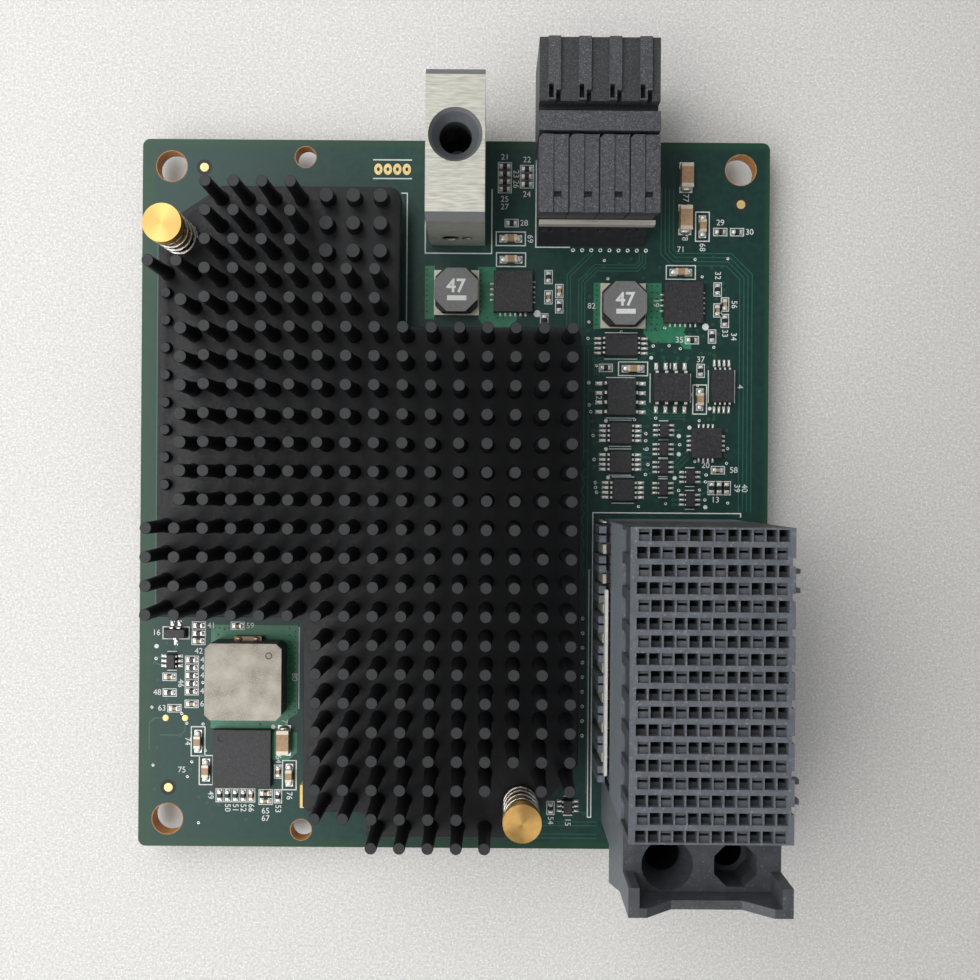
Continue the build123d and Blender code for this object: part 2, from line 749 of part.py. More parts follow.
keep(wafers, "wafers")

# Ground contacts fill the space between the wafer pairs, and a short one stands beside the end plate
ground_t = 2 * tall_row_pitch - pair_t
ground_y = [y + tall_row_pitch for y in flank_y[1:]]
ground_x = tall_left - ground_out
with BuildPart() as ground_contacts:
    with Locations(*[(ground_x, y, deck) for y in ground_y]):
        Box(tall_w, ground_t, ground_h, align=(Align.MIN, Align.CENTER, Align.MIN))
    with Locations((ground_x, tall_start_y, deck)):
        Box(ground_out + wafer_inset, end_plate_t, ground_h, align=(Align.MIN, Align.MAX, Align.MIN))
keep(ground_contacts, "ground_contacts")

with BuildPart() as wafer_keeper:
    with Locations((tall_left - keeper_gap, tall_end_y + keeper_from_end, deck + wafer_shoulder_h)):
        Box(keeper_w, keeper_l, keeper_h, align=(Align.MAX, Align.MIN, Align.MIN))
keep(wafer_keeper, "wafer_keeper")

# Guide module: a hollowed end block with a round guide socket, an eight-sided key socket and two ears
guide_profile = [
    (tall_end_y, deck),
    (tall_end_y, deck + guide_floor),
    (guide_face_y, deck + guide_floor),
    (guide_face_y, deck + guide_slant_z),
    (guide_foot_y, deck + tall_housing_z),
    (tall_end_y - guide_foot_l, deck + tall_housing_z),
    (tall_end_y - guide_foot_l, deck),
]
guide_top = tall_h - guide_floor
with BuildPart() as guide_module:
    with BuildSketch(Plane.YZ.offset(tall_left)):
        with BuildLine():
            Polyline(*guide_profile, close=True)
        make_face()
    extrude(amount=tall_w)
    with BuildSketch(Plane.XZ.offset(-guide_face_y)):
        with BuildLine():
            Polyline(
                (tall_left, deck + guide_floor),
                (tall_left, face_z),
                (tall_left + guide_wall_flat, face_z),
                (tall_left + guide_wall_slope, deck + guide_wall_top),
                (tall_left + tall_w - guide_wall_slope, deck + guide_wall_top),
                (tall_left + tall_w - guide_wall_flat, face_z),
                (tall_left + tall_w, face_z),
                (tall_left + tall_w, deck + guide_floor),
                close=True,
            )
        make_face()
    extrude(amount=-guide_wall_t)
    for side in (-1, 1):
        ear_x = tall_x + side * (tall_w - guide_ear_w) / 2
        with Locations((ear_x, guide_face_y + guide_ear_l / 2, deck + guide_floor)):
            Box(guide_ear_w, guide_ear_l, guide_top, align=seat)
    with BuildSketch(Plane.XY.offset(deck + guide_floor)):
        with Locations((guide_round_x, guide_holes_y)):
            Circle(guide_bore_d / 2)
    extrude(amount=-guide_bore_depth, mode=Mode.SUBTRACT)
    with Locations((guide_round_x, guide_holes_y, deck + guide_floor - guide_mouth_depth)):
        Cone(guide_bore_d / 2, guide_mouth_d / 2, guide_mouth_depth, align=seat, mode=Mode.SUBTRACT)
    with BuildSketch(Plane.XY.offset(deck + guide_floor)):
        with Locations((guide_key_x, guide_holes_y)):
            RegularPolygon(guide_key_w / 2, 8, major_radius=False, rotation=22.5)
    extrude(amount=-guide_key_depth, mode=Mode.SUBTRACT)
    with Locations((guide_key_x, guide_holes_y, deck + guide_floor - guide_bore_depth)):
        Cylinder(guide_key_bore_d / 2, guide_bore_depth, align=seat, mode=Mode.SUBTRACT)
keep(guide_module, "guide_module")

# Main choke: a pressed powder body with a copper strap at each end
with BuildPart() as main_choke:
    with Locations((*choke_xy, deck)):
        Box(choke_w, choke_w, choke_h, align=seat)
    chamfer(main_choke.edges().filter_by(Axis.Z), choke_cut)
keep(main_choke, "main_choke")

with BuildPart() as main_choke_straps:
    for side in (-1, 1):
        strap_y = choke_xy[1] + side * (choke_w + choke_lead_out) / 2
        with Locations((choke_xy[0], strap_y, deck)):
            Box(choke_lead_w, choke_lead_out, choke_lead_h, align=seat)
keep(main_choke_straps, "main_choke_straps")

# Small chokes: an eight-sided ferrite drum on a square base
with BuildPart() as small_choke_bases:
    with Locations(*at(small_chokes_xy, deck)):
        Box(small_choke_w, small_choke_w, small_choke_base_t, align=seat)
keep(small_choke_bases, "small_choke_bases")

with BuildPart() as small_choke_cores:
    with BuildSketch(Plane.XY.offset(deck + small_choke_base_t)) as core_face:
        with Locations(*small_chokes_xy):
            Rectangle(small_choke_w - 2 * small_choke_inset, small_choke_w - 2 * small_choke_inset)
        chamfer(core_face.vertices(), small_choke_cut)
    extrude(amount=small_choke_h - small_choke_base_t)
keep(small_choke_cores, "small_choke_cores")

# Leadless packages
with BuildPart() as power_stage:
    with Locations((*power_stage_xy, deck)):
        Box(power_stage_w, power_stage_w, flat_package_h, align=seat)
keep(power_stage, "power_stage")

with BuildPart() as regulators:
    with Locations(*at(regulators_xy, deck)):
        Box(regulator_w, regulator_l, flat_package_h, align=seat)
keep(regulators, "regulators")

with BuildPart() as quad_package:
    with Locations((*quad_xy, deck)):
        Box(quad_w, quad_w, flat_package_h, align=seat)
keep(quad_package, "quad_package")


# Leaded packages: moulded bodies and their rows of leads
def package_bodies(size, places, name):
    """Moulded bodies, just above the board on their leads."""
    along, across, height = size[:3]
    with BuildPart() as bodies:
        with Locations(*standing(places, deck + package_lift)):
            Box(along, across, height - package_lift, align=seat)
    keep(bodies, name)


def package_leads(size, places, counts, name):
    """Leads on both long sides, each a foot from the body out over the board."""
    across, _, span, pitch, lead_w = size[1:]
    reach = (span - across) / 2
    with BuildPart() as leads:
        for side, count in zip((1, -1), counts):
            for place in standing(places, deck):
                with Locations(place * Pos(0, side * (across + reach) / 2, 0)):
                    with GridLocations(pitch, 1, count, 1):
                        Box(lead_w, reach, lead_t, align=seat)
    keep(leads, name)


package_bodies(soic, soic_places, "soic_packages")
package_leads(soic, soic_places, (4, 4), "soic_leads")
package_bodies(tssop, tssop_places, "tssop_packages")
package_leads(tssop, tssop_places, (4, 4), "tssop_leads")
package_bodies(msop, msop_places, "msop_packages")
package_leads(msop, msop_places, (4, 4), "msop_leads")
package_bodies(sc70, sc70_places, "sc70_packages")
package_leads(sc70, sc70_places, (3, 3), "sc70_leads")
package_bodies(sot23, sot23_places, "sot23_package")
package_leads(sot23, sot23_places, (2, 1), "sot23_leads")


# Chip capacitors: ceramic bodies between plated end caps
def chip_bodies(size, places, name):
    length, width, height, cap = size
    with BuildPart() as bodies:
        with Locations(*standing(places, deck)):
            Box(length - 2 * cap, width, height, align=seat)
    keep(bodies, name)


def chip_ends(size, places, name):
    length, width, height, cap = size
    with BuildPart() as ends:
        with Locations(*standing(places, deck)):
            with GridLocations(length - cap, 1, 2, 1):
                Box(cap, width, height, align=seat)
    keep(ends, name)


chip_bodies(case_1206, places_1206, "large_capacitors")
chip_ends(case_1206, places_1206, "large_capacitor_ends")
chip_bodies(case_0603, places_0603, "medium_capacitors")
chip_ends(case_0603, places_0603, "medium_capacitor_ends")

# Smallest chip parts, each one solid
with BuildPart() as small_resistors:
    with Locations(*standing(in_rows(resistor_rows), deck)):
        Box(*case_0402, align=seat)
keep(small_resistors, "small_resistors")

with BuildPart() as small_capacitors:
    with Locations(*standing(in_rows(capacitor_rows), deck)):
        Box(*case_0402, align=seat)
keep(small_capacitors, "small_capacitors")
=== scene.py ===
# %% [markdown]
# # Dressing a mezzanine network card
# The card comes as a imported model: a board, a pin-fin heat sink, two connectors, a guide block and many small
# parts, each already in its true place. This lesson gives every part the finish that it has on the bench.
# Parts whose solids are simpler than the real ones are rebuilt as finer meshes in the same place.

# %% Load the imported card
import math
import random
from collections import namedtuple

import bmesh
import bpy
from mathutils import Matrix, Vector


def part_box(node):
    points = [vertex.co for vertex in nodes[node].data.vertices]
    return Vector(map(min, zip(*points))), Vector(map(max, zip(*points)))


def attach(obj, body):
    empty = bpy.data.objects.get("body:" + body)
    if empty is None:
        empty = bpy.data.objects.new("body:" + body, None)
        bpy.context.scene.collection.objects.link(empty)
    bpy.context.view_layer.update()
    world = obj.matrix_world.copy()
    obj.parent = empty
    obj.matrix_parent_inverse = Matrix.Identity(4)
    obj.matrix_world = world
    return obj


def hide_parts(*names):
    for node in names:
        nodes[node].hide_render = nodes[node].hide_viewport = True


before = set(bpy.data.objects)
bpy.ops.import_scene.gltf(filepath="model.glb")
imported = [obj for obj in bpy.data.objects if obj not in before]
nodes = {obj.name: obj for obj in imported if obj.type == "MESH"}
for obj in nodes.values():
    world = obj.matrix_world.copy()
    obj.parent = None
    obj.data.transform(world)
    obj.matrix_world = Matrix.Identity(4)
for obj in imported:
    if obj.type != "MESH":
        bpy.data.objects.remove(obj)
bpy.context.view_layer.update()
MM = 0.001


def box_mm(node):
    """Lowest and highest corner of a node, in millimetres."""
    return [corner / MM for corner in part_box(node)]


board_low, board_high = box_mm("circuit_board")
deck = board_high.z
print(len(nodes), "nodes; the component side lies", round(deck, 2), "mm above the floor")

# %% [markdown]
# ## Finding the single parts
# Many small parts share one node. To put pads, solder and printed lines round each of them we need their places,
# and the mesh already knows them: corners that faces join belong to one solid. Reading the places from the mesh
# keeps the picture true to the model, which a second list of places would not.

# %% Boxes of the solids in a node
Solid = namedtuple("Solid", "x y w l z0 z1")


def spots_of(mesh):
    """Places of a mesh's corners, in millimetres."""
    return [tuple(round(c / MM, 3) for c in v.co) for v in mesh.vertices]


def joined_corners(mesh, faces):
    """Groups of corner places that the given faces join."""
    spots = spots_of(mesh)
    groups = []
    for face in faces:
        group = {spots[v] for v in face.vertices}
        touched = [g for g in groups if not group.isdisjoint(g)]
        groups = [g for g in groups if g not in touched] + [group.union(*touched)]
    return groups


def solid_of(points):
    """The upright box round a group of places."""
    (x0, x1), (y0, y1), (z0, z1) = ((min(c), max(c)) for c in zip(*points))
    return Solid((x0 + x1) / 2, (y0 + y1) / 2, x1 - x0, y1 - y0, z0, z1)


def solids_of(node):
    mesh = nodes[node].data
    found = [solid_of(points) for points in joined_corners(mesh, mesh.polygons)]
    return sorted(found, key=lambda s: (-round(s.y, 2), s.x))


def nearest(s, others):
    return min(others, key=lambda o: (o.x - s.x) ** 2 + (o.y - s.y) ** 2)


print(len(solids_of("small_resistors")), "small resistors,", len(solids_of("soic_leads")), "larger leads")

# %% [markdown]
# ## Small tools for flat and turned shapes
# Copper, solder and print are thin layers, so most new pieces are strips, rings and blocks a few hundredths of a
# millimetre high. A few helpers collect such shapes in one mesh, which is lighter than hundreds of objects.

# %% Outlines and places
def rectangle(x, y, w, l):
    return [(x - w / 2, y - l / 2), (x + w / 2, y - l / 2), (x + w / 2, y + l / 2), (x - w / 2, y + l / 2)]


def circle(x, y, r, n, stretch=1.0):
    turns = (2 * math.pi * i / n for i in range(n))
    return [(x + r * math.cos(a), y + stretch * r * math.sin(a)) for a in turns]


def step(spot, way, reach):
    """A place some way off, in the direction given."""
    return spot[0] + way[0] * reach, spot[1] + way[1] * reach


def laid(lies_x, long, wide):
    """Width and length of something that lies along X, or else along Y."""
    return (long, wide) if lies_x else (wide, long)


def beside(points, shift, closed=False):
    """A path moved sideways, with its corners mitred."""
    steps = [Vector((c - a, d - b)).normalized() for (a, b), (c, d) in zip(points, points[1:] + points[:1])]
    before = (steps[-1:] if closed else steps[:1]) + steps[:-1]
    after = steps[:-1] + (steps[-1:] if closed else steps[-2:-1])
    moved = []
    for (x, y), d1, d2 in zip(points, before, after):
        along = (d1 + d2).normalized()
        reach = shift / max(0.4, along.dot(d2))
        moved.append((x - along.y * reach, y + along.x * reach))
    return moved


print("a square moved outwards:", [[round(c, 2) for c in p] for p in beside(rectangle(0, 0, 2, 2), -1, closed=True)])

# %% Corners, quads and blocks of a growing mesh
def corners(bm, points, *height):
    """New corners at places in millimetres; flat places need a height as well."""
    return [bm.verts.new([c * MM for c in (*p, *height)]) for p in points]


def loops(bm, rings, closed=False):
    """Quads between matching rings of corners."""
    for a, b in zip(rings, rings[1:] + (rings[:1] if closed else [])):
        for i in range(len(a)):
            j = (i + 1) % len(a)
            bm.faces.new((a[i], a[j], b[j], b[i]))


def capped(bm, rings):
    """A closed shape: quads between rings of corners, and a lid on the first and the last."""
    loops(bm, rings)
    bm.faces.new(rings[0][::-1])
    bm.faces.new(rings[-1])


def prism(bm, outline, z0, z1, draw_in=0.0):
    """A closed block over an outline; its top can be drawn in, as moulded parts are."""
    middle = [sum(c) / len(outline) for c in zip(*outline)]

    def inward(v, c):
        return v - math.copysign(min(draw_in, abs(v - c)), v - c)

    top = [tuple(map(inward, p, middle)) for p in outline]
    capped(bm, [corners(bm, outline, z0), corners(bm, top, z1)])


def slab(bm, x, y, w, l, z0, z1, draw_in=0.0):
    prism(bm, rectangle(x, y, w, l), z0, z1, draw_in)


# %% Round shapes, lines and copies
def ring(bm, x, y, r_in, r_out, z0, z1, n, stretch=1.0):
    """A washer: the land round a hole, or a tube."""
    profile = ((r_in, z0), (r_out, z0), (r_out, z1), (r_in, z1))
    loops(bm, [corners(bm, circle(x, y, r, n, stretch), z) for r, z in profile], closed=True)


def turned(bm, x, y, profile, n):
    """A lathe shape: (radius, height) pairs from the bottom up, closed at both ends."""
    capped(bm, [corners(bm, circle(x, y, r, n), z) for r, z in profile])


def disc(bm, x, y, r, z0, z1, n):
    turned(bm, x, y, [(r, z0), (r, z1)], n)


def strip(bm, points, width, z0, z1, closed=False):
    """A flat line of even width along a path, mitred at its corners."""
    left, right = (beside(points, half, closed) for half in (width / 2, -width / 2))
    cuts = [corners(bm, [(*a, z0), (*b, z0), (*b, z1), (*a, z1)]) for a, b in zip(left, right)]
    if closed:
        loops(bm, cuts, closed)
    else:
        capped(bm, cuts)


def dome(bm, x, y, rx, ry, z0, height, n=10):
    """A low rounded blob, as solder sets."""
    capped(bm, [
        corners(bm, circle(x, y, rx * share, n, ry / rx), z0 + height * math.sqrt(1 - share * share))
        for share in (1.0, 0.85, 0.5)
    ])


def copy_faces(bm, mesh, faces):
    """Copy faces of a node's mesh and join the corners that share a place."""
    spots = spots_of(mesh)
    made = {}
    for face in faces:
        around_face = [spots[v] for v in face.vertices]
        if len(set(around_face)) == len(around_face):
            for p in around_face:
                if p not in made:
                    made[p] = corners(bm, [p])[0]
            bm.faces.new([made[p] for p in around_face])


# %% From a finished mesh to a piece
def to_object(bm, name):
    obj = bpy.data.objects.new(name, bpy.data.meshes.new(name))
    bm.to_mesh(obj.data)
    bm.free()
    bpy.context.collection.objects.link(obj)
    return obj


def piece(bm, name, material, stands_for=(), smooth=False):
    """Turn a finished mesh into a piece that rides on the card."""
    bmesh.ops.recalc_face_normals(bm, faces=bm.faces)
    obj = to_object(bm, name)
    for face in obj.data.polygons:
        face.use_smooth = smooth
    obj.data.materials.append(material)
    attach(obj, "root")
    if stands_for:
        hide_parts(*stands_for)
    print(name, "has", len(obj.data.polygons), "faces")
    return obj


# %% [markdown]
# ## A base for every finish
# No surface here is one flat colour: plastic has glass specks, metal has tool marks, and mask has a faint orange
# peel. One helper sets up noise that drives colour, roughness and a little bump; each finish then picks its own
# grain and colours. What is even over the whole surface is set straight on the shader.

# %% Shader nodes in short
def feed(node, *values, **named):
    """Fill a shader node's inputs, by order or by name, with numbers or with the outputs of other nodes."""
    for key, value in [*enumerate(values), *named.items()]:
        socket = node.inputs[key if isinstance(key, int) else key.replace("_", " ")]
        if isinstance(value, bpy.types.NodeSocket):
            node.id_data.links.new(value, socket)
        else:
            socket.default_value = value
    return node


def add(material, kind, *values, operation=None, **named):
    """A new shader node with its inputs filled."""
    node = material.node_tree.nodes.new("ShaderNode" + kind)
    if operation:
        node.operation = operation
    return feed(node, *values, **named)


def shader_of(material):
    return material.node_tree.nodes["Principled BSDF"]


def spot_of(material):
    """Where a point lies on its piece, in metres."""
    return material.node_tree.nodes["Texture Coordinate"].outputs["Object"]


def between(material, value, low, high, start=0.0, end=1.0):
    """Stretch a value so that low becomes the start and high the end."""
    share = add(material, "MapRange", Value=value, From_Min=low, From_Max=high, To_Min=start, To_Max=end)
    return share.outputs["Result"]


# %% Finish helpers
def finish(name, dark, light, rough, grain, metal=0.0, spread=0.08, bump=0.15, stretch=(1, 1, 1), sharp=0.25):
    """A grained finish between two colours. Grain is how many spots lie on a millimetre."""
    material = bpy.data.materials.new(name)
    material.use_nodes = True
    add(material, "TexCoord")
    drawn = add(material, "Mapping", Vector=spot_of(material), Scale=stretch).outputs["Vector"]
    noise = add(material, "TexNoise", Vector=drawn, Scale=grain / MM, Detail=5.0).outputs["Fac"]
    ramp = add(material, "ValToRGB", Fac=noise)
    for stop, place, colour in zip(ramp.color_ramp.elements, (0.5 - sharp, 0.5 + sharp), (dark, light)):
        stop.position = place
        stop.color = (*colour, 1)
    roughness = between(material, noise, 0.3, 0.7, max(0.05, rough - spread), min(1.0, rough + spread))
    relief = add(material, "Bump", Strength=bump, Distance=0.05 * MM, Height=noise).outputs["Normal"]
    feed(shader_of(material), Metallic=metal, Base_Color=ramp.outputs["Color"], Roughness=roughness, Normal=relief)
    return material


def dress(node, material, round_edges=0.0):
    """Give a CAD node its finish, and break its edges as tools and moulds leave them."""
    obj = nodes[node]
    obj.data.materials.clear()
    obj.data.materials.append(material)
    if round_edges:
        edge = obj.modifiers.new("broken_edges", "BEVEL")
        edge.width = round_edges * MM
        edge.segments = 2
        edge.limit_method = "ANGLE"
        edge.angle_limit = math.radians(40)
        edge.harden_normals = False


# %% [markdown]
# ## Zones within a finish
# Some pieces look different on their tops than on their sides: the flat ends of the pins are painted pale as a
# highlight, and a slot is painted darker at its bottom as shade. That depends only on where a point is and which way
# it faces. So a few helpers read the facing and the place, each gives a share from 0 to 1, and a second colour is
# blended in by that share.

# %% Blending by facing and place
def facing(material, low, high):
    """Share by how far the surface looks upwards: 1 is a level top, 0 an upright side and -1 an underside."""
    normal = add(material, "NewGeometry").outputs["True Normal"]
    return between(material, add(material, "SeparateXYZ", normal).outputs["Z"], low, high)


def both(material, share, *others):
    """The part where all the given shares meet."""
    for other in others:
        share = add(material, "Math", share, other, operation="MULTIPLY").outputs[0]
    return share


def past(material, axis, start, end):
    """0 up to one place on an axis and 1 from another on, both in millimetres."""
    split = add(material, "SeparateXYZ", spot_of(material))
    return between(material, split.outputs[axis], start * MM, end * MM)


def within(material, axis, low, high, soft=0.02):
    """1 in a slice of the piece between two places on an axis."""
    return both(material, past(material, axis, low - soft, low + soft), past(material, axis, high + soft, high - soft))


def near_axis(material, x, y, r, soft=0.03):
    """1 within a radius of an upright axis, 0 outside it."""
    flat = add(material, "VectorMath", spot_of(material), (1, 1, 0), operation="MULTIPLY").outputs["Vector"]
    reach = add(material, "VectorMath", flat, (x * MM, y * MM, 0), operation="DISTANCE").outputs["Value"]
    return between(material, reach, (r + soft) * MM, (r - soft) * MM)


def tint(material, colour, *shares, how="MIX"):
    """Blend a second colour into a finish where all the shares are high."""
    shader = shader_of(material)
    mix = add(material, "Mix")
    mix.data_type, mix.blend_type = "RGBA", how
    before = shader.inputs["Base Color"].links[0].from_socket
    feed(mix, Factor=both(material, *shares), A=before, B=(*colour, 1))
    feed(shader, Base_Color=mix.outputs["Result"])


def grey(value):
    return value, value, value


# %% Specks and streaks
def speckled(name, dark, light, speck, rough, grain, speck_grain, amount=0.62):
    """A filled finish: soft cloudy ground with small pale specks."""
    material = finish(name, dark, light, rough, grain, spread=0.06, bump=0.2)
    dots = add(material, "TexNoise", Vector=spot_of(material), Scale=speck_grain / MM, Detail=2.0).outputs["Fac"]
    tint(material, speck, between(material, dots, amount, amount + 0.08))
    return material


def streaks(material, grain, stretch):
    """Shares from noise drawn out along an axis, as resin leaves them where it flowed."""
    drawn = add(material, "Mapping", Vector=spot_of(material), Scale=stretch).outputs["Vector"]
    noise = add(material, "TexNoise", Vector=drawn, Scale=grain / MM).outputs["Fac"]
    return between(material, noise, 0.45, 0.6)


# %% [markdown]
# ## The board
# Solder mask is a green lacquer over copper. Where the copper plane lies below it is dark and blue; the outer rim
# has no copper and shows the yellower laminate. The cut sides show the bare glass laminate. The rim is what lies
# outside a slice in X and a slice in Y, and the sides are found from the direction that the surface faces.

# %% Solder mask
rim_left, rim_right, rim_ends, rim_soft = 1.8, 0.5, 0.9, 0.3
shade_from, shade_to = 8, 40
mask = finish("solder_mask", (0.005, 0.032, 0.026), (0.009, 0.047, 0.037), 0.36, 1.2, spread=0.05, bump=0.04)
feed(shader_of(mask), Specular_IOR_Level=0.36)
over_copper = both(
    mask,
    within(mask, "X", board_low.x + rim_left, board_high.x - rim_right, rim_soft),
    within(mask, "Y", board_low.y + rim_ends, board_high.y - rim_ends, rim_soft),
)
# painted shade: the mask is painted darker towards the right, where less lamp light falls
tint(mask, (0.72, 0.76, 0.76), past(mask, "X", shade_from, shade_to), how="MULTIPLY")
tint(mask, (0.010, 0.048, 0.024), between(mask, over_copper, 1, 0))
tint(mask, (0.13, 0.14, 0.045), facing(mask, 0.6, 0.4), facing(mask, -0.6, -0.4))
dress("circuit_board", mask)
print("the board is", round(deck - board_low.z, 2), "mm thick")

# %% Walls of the holes
mount_r, tooling_r, wall, bite = 2.1, 1.45, 0.06, 0.02
board_holes = [
    (-38.1, 39.6, mount_r), (38.1, 39.6, mount_r), (-38.1, -47.8, mount_r),
    (-20.2, 40.95, tooling_r), (-20.2, -49.15, tooling_r),
]
laminate = finish("hole_laminate", (0.34, 0.14, 0.03), (0.55, 0.27, 0.08), 0.5, 3.0, bump=0.3)
bm = bmesh.new()
for x, y, r in board_holes:
    ring(bm, x, y, r - wall, r + bite, board_low.z + 0.01, deck + 0.01, 36)
piece(bm, "hole_walls", laminate)

# %% [markdown]
# ## The heat sink
# It is one black anodised casting: a plate with a stepped outline and nearly three hundred round pins that taper
# upwards. The model has four-sided pins, so the sink is built again: the plate is pulled up from the model's own
# underside, and a turned pin stands where each square one stood. A turned profile gives the pin its foot
# fillet and its softened end, and sixteen sides look round at this size.

# %% Plate of the heat sink
anodised = finish("black_anodised", (0.004, 0.004, 0.005), (0.009, 0.009, 0.010), 0.5, 2.2, spread=0.1, bump=0.25)
feed(shader_of(anodised), Specular_IOR_Level=0.3)
sink_mesh = nodes["heat_sink"].data
sink_low, sink_high = box_mm("heat_sink")
level_faces = [f for f in sink_mesh.polygons if f.normal.z > 0.99]
plate_top = min(round(f.center.z / MM, 2) for f in level_faces)
pins_from, rim_z, rim_round = plate_top + 0.3, 0.9 * plate_top, 0.22
# painted highlight: the flat ends of the pins are painted paler, as light from above falls on them
lit_pin_ends = facing(anodised, 0.9, 0.98), past(anodised, "Z", pins_from, pins_from + 0.3)
tint(anodised, (0.024, 0.025, 0.027), *lit_pin_ends)
bm = bmesh.new()
copy_faces(bm, sink_mesh, [
    f for f in sink_mesh.polygons if f.normal.z < -0.99 and abs(f.center.z / MM - sink_low.z) < 0.01
])
bmesh.ops.dissolve_limit(bm, angle_limit=math.radians(1), verts=bm.verts, edges=bm.edges)
raised = bmesh.ops.extrude_face_region(bm, geom=list(bm.faces))["geom"]
top_corners = [g for g in raised if isinstance(g, bmesh.types.BMVert)]
bmesh.ops.translate(bm, verts=top_corners, vec=(0, 0, (plate_top - sink_low.z) * MM))
bmesh.ops.recalc_face_normals(bm, faces=bm.faces)
rim = [
    e for e in bm.edges
    if len(e.link_faces) == 2 and abs(e.calc_face_angle(0)) > 1 and min(v.co.z for v in e.verts) > rim_z * MM
]
bmesh.ops.bevel(bm, geom=rim, offset=rim_round * MM, segments=2, affect="EDGES", profile=0.5)
print("plate top at", plate_top, "mm; pin ends reach", round(sink_high.z, 2), "mm")

# %% Pins of the heat sink
taper, stub_height, pin_share, stub_share, pin_sides = 0.014, 1.5, 0.57, 0.52, 16
foot_fillet, soft_end = [(0.16, -0.02), (0.05, 0.08), (0, 0.25)], [(0.01, -0.2), (-0.01, -0.05), (-0.06, 0)]
pin_ends = joined_corners(sink_mesh, [f for f in level_faces if f.center.z / MM > pins_from])
for end in map(solid_of, pin_ends):
    reach = end.z1 - plate_top
    end_r = end.w * (pin_share if reach > stub_height else stub_share)
    foot_r = end_r + reach * taper
    profile = [(foot_r + r, plate_top + z) for r, z in foot_fillet] + [(end_r + r, end.z1 + z) for r, z in soft_end]
    turned(bm, end.x, end.y, profile, pin_sides)
sink = piece(bm, "pin_fin_sink", anodised, ["heat_sink"], smooth=True)
sharp_edges = sink.modifiers.new("crisp_ends", "EDGE_SPLIT")
sharp_edges.split_angle = math.radians(32)
print(len(pin_ends), "pins")

# %% [markdown]
# ## Push pins and springs
# Two brass rivets hold the sink down, each with a coil spring under its head. The model's springs are stepped, so
# a smooth coil is swept along a helix. The turned heads keep the model's shape, with broken edges and the
# fine rings that a lathe leaves, which come from distance to the pin's own axis. Rings too fine to see still
# stretch a reflection outwards from the axis, so the shader's gloss is drawn out in that direction.

# %% Brass rivets
WAVE_LENGTH = 0.314  # distance from ring to ring in a wave texture of scale 1


def turned_rings(material, axes, pitch, depth, stretch):
    """Fine grooves round each axis, as a lathe tool leaves them on a faced end, and the gloss that they stretch."""
    relief = feed(material.node_tree.nodes["Bump"], Strength=depth)
    outwards = add(material, "CombineXYZ").outputs["Vector"]
    for x, y, r in axes:
        arm = add(material, "Mapping", Vector=spot_of(material), Location=(-x * MM, -y * MM, 0)).outputs["Vector"]
        grooves = add(material, "TexWave", Vector=arm, Scale=WAVE_LENGTH / (pitch * MM))
        grooves.wave_type, grooves.rings_direction = "RINGS", "Z"
        nearby = near_axis(material, x, y, r)
        arm = add(material, "VectorMath", arm, operation="SCALE", Scale=nearby).outputs["Vector"]
        outwards = add(material, "VectorMath", arm, outwards).outputs["Vector"]
        height = both(material, grooves.outputs["Fac"], nearby)
        total = add(material, "Math", height, relief.inputs["Height"].links[0].from_socket)
        feed(relief, Height=total.outputs[0])
    feed(shader_of(material), Anisotropic=stretch, Tangent=outwards)


brass = finish("turned_brass", (0.56, 0.33, 0.10), (0.67, 0.415, 0.15), 0.43, 1.2, metal=1.0, spread=0.05, bump=0.04)
rivet_axes = [(s.x, s.y, s.w) for s in solids_of("push_pins")]
turned_rings(brass, rivet_axes, pitch=0.22, depth=0.1, stretch=0.75)
dress("push_pins", brass, 0.12)
print(len(rivet_axes), "rivets with turned rings")

# %% Coil springs
spring_wire = finish("spring_wire", (0.50, 0.49, 0.46), (0.66, 0.65, 0.61), 0.3, 2.0, metal=1.0, bump=0.03)
wire_r, wire_sides, turn_steps, turns = 0.2, 8, 20, 4.5
bm = bmesh.new()
for coil in solids_of("push_pin_springs"):
    coil_r = coil.w / 2 - wire_r
    low, high = coil.z0 + wire_r, coil.z1 - wire_r
    rings = []
    for k in range(int(turns * turn_steps) + 1):
        share = k / (turns * turn_steps)
        a = 2 * math.pi * k / turn_steps
        height = low + (high - low) * min(1, max(0, (share - 0.1) / 0.8))
        section = circle(coil_r, height, wire_r, wire_sides)
        rings.append(corners(bm, [(coil.x + r * math.cos(a), coil.y + r * math.sin(a), z) for r, z in section]))
    capped(bm, rings)
piece(bm, "coil_springs", spring_wire, ["push_pin_springs"], smooth=True)

# %% [markdown]
# ## Moulded packages
# Chip bodies are pressed from black resin in two halves, so they are widest at the middle and drawn in above and
# below. Each body is built as rings of corners at five heights. A round dimple beside the first lead is cut with
# a Boolean, because a dark dot painted on would not catch the light.

# %% Moulding and carving
def mould_line(s):
    """Height at which the two halves of the mould met."""
    return s.z0 + 0.55 * (s.z1 - s.z0)


def moulded(bm, s, draft, edge=0.04):
    """One chip body: drawn in towards its bottom and top from the mould line."""
    low, high = mould_line(s) - 0.03, mould_line(s) + 0.03
    levels = ((s.z0, draft), (low, 0), (high, 0), (s.z1 - edge, draft), (s.z1, draft + edge))
    capped(bm, [corners(bm, rectangle(s.x, s.y, s.w - 2 * inset, s.l - 2 * inset), z) for z, inset in levels])


def carve(obj, cutters):
    """Cut shapes out of a piece and keep the result as its mesh."""
    bmesh.ops.recalc_face_normals(cutters, faces=cutters.faces)
    tool = to_object(cutters, "cutters")
    cut = obj.modifiers.new("cut", "BOOLEAN")
    cut.object = tool
    cut.solver = "EXACT"
    bpy.context.view_layer.update()
    result = bpy.data.meshes.new_from_object(obj.evaluated_get(bpy.context.evaluated_depsgraph_get()))
    obj.modifiers.remove(cut)
    obj.data = result
    bpy.data.objects.remove(tool)
    print(obj.name, "now has", len(result.polygons), "faces")


